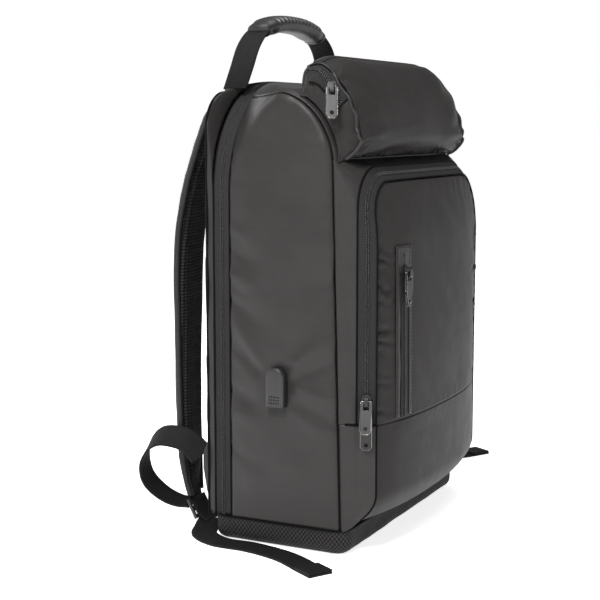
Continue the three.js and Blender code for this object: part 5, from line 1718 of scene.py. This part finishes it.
# The tails on the floor: shares aside and ahead of the way to the tip, and of the rise at the lock.
TAILS = {
    "left": (203, -74, ((0.02, 0.078, 1), (0.206, 0.11, 0), (0.431, 0.169, 0), (0.578, 0.303, 0),
                        (0.588, 0.496, 0), (0.696, 0.721, 0), (0.902, 0.909, 0), (1, 1, 0))),
    "right": (300, -54, ((0.01, 0.087, 1), (0.136, 0.117, 0), (0.276, 0.207, 0), (0.437, 0.411, 0),
                         (0.628, 0.652, 0), (0.819, 0.868, 0), (1, 1, 0))),
}


def level(route):
    """The level direction across a route, by shares of its length."""
    def across(share):
        along = route.along(share)
        return Vector((-along.y, along.x, 0))

    return across


def webbing_strip(name, route, side_at, replaces=(), counts=(120, 10)):
    """A flat length of webbing along a route."""
    def point(u, v):
        along = route.along(u)
        across = side_at(u)
        across = (across - along * across.dot(along)).normalized()
        crown = along.cross(across) * 0.15 * math.sin(math.pi * v)
        return route.at(u) + across * lerp(-WEBBING_WIDTH / 2, WEBBING_WIDTH / 2, v) + crown

    bm, _ = grid(point, counts, (route.length, WEBBING_WIDTH))
    return give_wall(show(name, bm, "webbing", replaces=replaces), WEBBING - 0.2, 0.0)


# The webbing through a ladder lock and over its middle bar: out from the lock, and height.
LOCK_WRAP = ((9.5, 17.9), (6.1, 19.2), (2.4, 20.1), (-0.3, 19.0), (-2.4, 15.8), (-4.8, 11.4), (-8.5, 7.4),
             (-12.5, 4.8), (-16.5, 3.9))


# The webbing from a strap's foot to its lock: share of the strap's place, out from the back, and height.
STRAP_DROP = ((1.05, 52.5, 74), (1.07, 50.5, 56), (1.09, 48, 40), (1.11, 45.6, 28), (1.12, 43.6, 21.5))


class BACKPACK_OT_webbing(bpy.types.Operator):
    """The wings, webbing loops, ladder locks and the tails on the floor"""

    bl_idname = "backpack.webbing"
    bl_label = "Webbing"

    def execute(self, context):
        for side, sign in SIDES:
            loop = smooth_route([
                (sign * lerp(HALF_WIDTH, LOCK_X, across), WEARER + lerp(LOCK_OUT, LOOP_REACH, out),
                 lerp(LOCK_Z, LOOP_TOP, up)) for across, out, up in LOOP_ROWS])
            webbing_strip(f"{side}_loop_webbing", loop,
                          lambda u, sign=sign: Vector((-sign * lerp(0.6, 1, u), 0.12, lerp(0.8, 0.08, u))),
                          (f"lower_webbing_{side}",))
            tip_x, tip_y, rows = TAILS[side]
            tail = smooth_route([
                (sign * lerp(LOCK_X, tip_x, aside), lerp(WEARER + LOCK_OUT, tip_y, ahead),
                 WEBBING / 2 + SEAT + up * 2.6) for aside, ahead, up in rows])

            webbing_strip(f"{side}_tail_webbing", tail, level(tail), (f"tail_webbing_{side}",))
            tip = Route([tail.at(lerp(1 - 24 / tail.length, 0.998, share)) + UP * (WEBBING + 0.1)
                         for share in even(20)])
            webbing_strip(f"{side}_tail_fold", tip, level(tip), counts=(20, 10))
            wrap = smooth_route([(sign * LOCK_X, WEARER + LOCK_OUT + out, up) for out, up in LOCK_WRAP], 60)
            webbing_strip(f"{side}_lock_webbing", wrap, lambda u: Vector((1, 0, 0)), counts=(40, 10))
            drop = smooth_route([(sign * STRAP_X * wide, WEARER + out, up)
                                 for wide, out, up in STRAP_DROP], 60)
            webbing_strip(f"{side}_strap_end_webbing", drop, lambda u: Vector((1, 0.1, 0)), counts=(40, 10))
            self.wing(side)
            hard_copy(f"{side}_ladder_lock", f"ladder_lock_{side}", "plastic", 0.5)
        return {"FINISHED"}

    def wing(self, side):
        """A folded triangle of cloth that holds the lower webbing."""
        bm = node_mesh(f"wing_{side}", True)
        bevel(bm, bm.edges[:], 0.9, 3, True)
        weave = bm.loops.layers.uv.new("weave")
        for face in bm.faces:
            for loop in face.loops:
                loop[weave].uv = (loop.vert.co.z, loop.vert.co.y)
        show(f"{side}_wing_cloth", bm, "coated_cloth", replaces=(f"wing_{side}",))


# Sizes of the port housing and of one dot: across, up and out.
HOUSING = (19, 38, 11)
DOT = (1.3, 1.5, 0.4)
DOT_ROWS = 3
DOT_COLUMNS = 5


class BACKPACK_OT_usb_port(bpy.types.Operator):
    """The housing of the charging port, with its small grid of dots"""

    bl_idname = "backpack.usb_port"
    bl_label = "Port housing"

    def execute(self, context):
        base = -half_width_at(USB_Y, USB_Z)
        bm = bmesh.new()
        add_block(bm, Vector((base - 2.5, USB_Y, USB_Z + 2)), UP, Vector((-1, 0, 0)), HOUSING)

        def outward(low, high):
            """The edges that run out from the bag between two heights."""
            return [e for e in bm.edges if abs(e.verts[0].co.x - e.verts[1].co.x) > 5 * MM
                    and low < e.verts[0].co.z / MM <= high]

        bevel(bm, outward(0, USB_Z), 2, 3)
        bevel(bm, outward(USB_Z + 12, BODY_TOP), 8.5, 8)
        face = min(bm.faces, key=lambda f: f.calc_center_median().x)
        bevel(bm, face.edges[:], 2.6, 4)
        show("port_housing", bm, "plastic", replaces=("usb_port_housing",))
        # The dots are near-black blocks on the housing's face: painted shade standing for small inset holes.
        bm = bmesh.new()
        for row in range(DOT_ROWS):
            for column in range(DOT_COLUMNS):
                place = Vector((base - 8, USB_Y + (column - 2) * 2.3, USB_Z - 6.5 - row * 2.9))
                add_block(bm, place, UP, Vector((-1, 0, 0)), DOT)
        bevel(bm, bm.edges[:], 0.2)
        show("port_dots", bm, "piping", slot="plastic")
        return {"FINISHED"}


# The radius of the bright rim of each puller.
RIMS = {"pocket_upper": 0.45, "pocket_lower": 0.25, "welt": 0.25, "pouch": 0.25}


class BACKPACK_OT_sliders(bpy.types.Operator):
    """The zip sliders and their pullers"""

    bl_idname = "backpack.sliders"
    bl_label = "Sliders and pullers"

    def execute(self, context):
        for zip_name, rim in RIMS.items():
            body = f"{zip_name}_pull"
            hard_copy(f"{zip_name}_slider_body", f"{zip_name}_slider", "black_metal", 0.35)
            hard_copy(f"{zip_name}_pull_tab", f"{zip_name}_puller", "black_metal", 0.3, body)
            edge_wires(f"{zip_name}_pull_edge", f"{zip_name}_puller", body, rim)
        hard_copy("main_slider_body", "main_zip_slider", "black_metal", 0.6)
        return {"FINISHED"}


OPERATORS = (
    BACKPACK_OT_stage,
    BACKPACK_OT_side_panels,
    BACKPACK_OT_body_sheet,
    BACKPACK_OT_main_zip,
    BACKPACK_OT_wearer_side,
    BACKPACK_OT_back_pads,
    BACKPACK_OT_base_tray,
    BACKPACK_OT_front_pocket,
    BACKPACK_OT_pocket_zip,
    BACKPACK_OT_welt_pocket,
    BACKPACK_OT_pouch,
    BACKPACK_OT_handle,
    BACKPACK_OT_shoulder_straps,
    BACKPACK_OT_webbing,
    BACKPACK_OT_usb_port,
    BACKPACK_OT_sliders,
)


class BACKPACK_PT_panel(bpy.types.Panel):
    """Lists the pieces of the backpack in the sidebar"""

    bl_idname = "BACKPACK_PT_panel"
    bl_label = "Backpack"
    bl_space_type = "VIEW_3D"
    bl_region_type = "UI"
    bl_category = "Backpack"

    def draw(self, context):
        for group in (context.scene.bag_sizes, context.scene.bag_colours):
            for name in group.__annotations__:
                self.layout.prop(group, name)
        for operator in OPERATORS:
            self.layout.operator(operator.bl_idname)


CLASSES = (BagSizes, BagColours, *OPERATORS, BACKPACK_PT_panel)


def register():
    for item in CLASSES:
        bpy.utils.register_class(item)
    bpy.types.Scene.bag_sizes = bpy.props.PointerProperty(type=BagSizes)
    bpy.types.Scene.bag_colours = bpy.props.PointerProperty(type=BagColours)


def unregister():
    del bpy.types.Scene.bag_colours
    del bpy.types.Scene.bag_sizes
    for item in reversed(CLASSES):
        bpy.utils.unregister_class(item)


def main():
    register()
    make_finishes(bpy.context.scene.bag_colours)
    for operator in OPERATORS:
        group, name = operator.bl_idname.split(".")
        getattr(getattr(bpy.ops, group), name)()


if __name__ == "__main__":
    main()
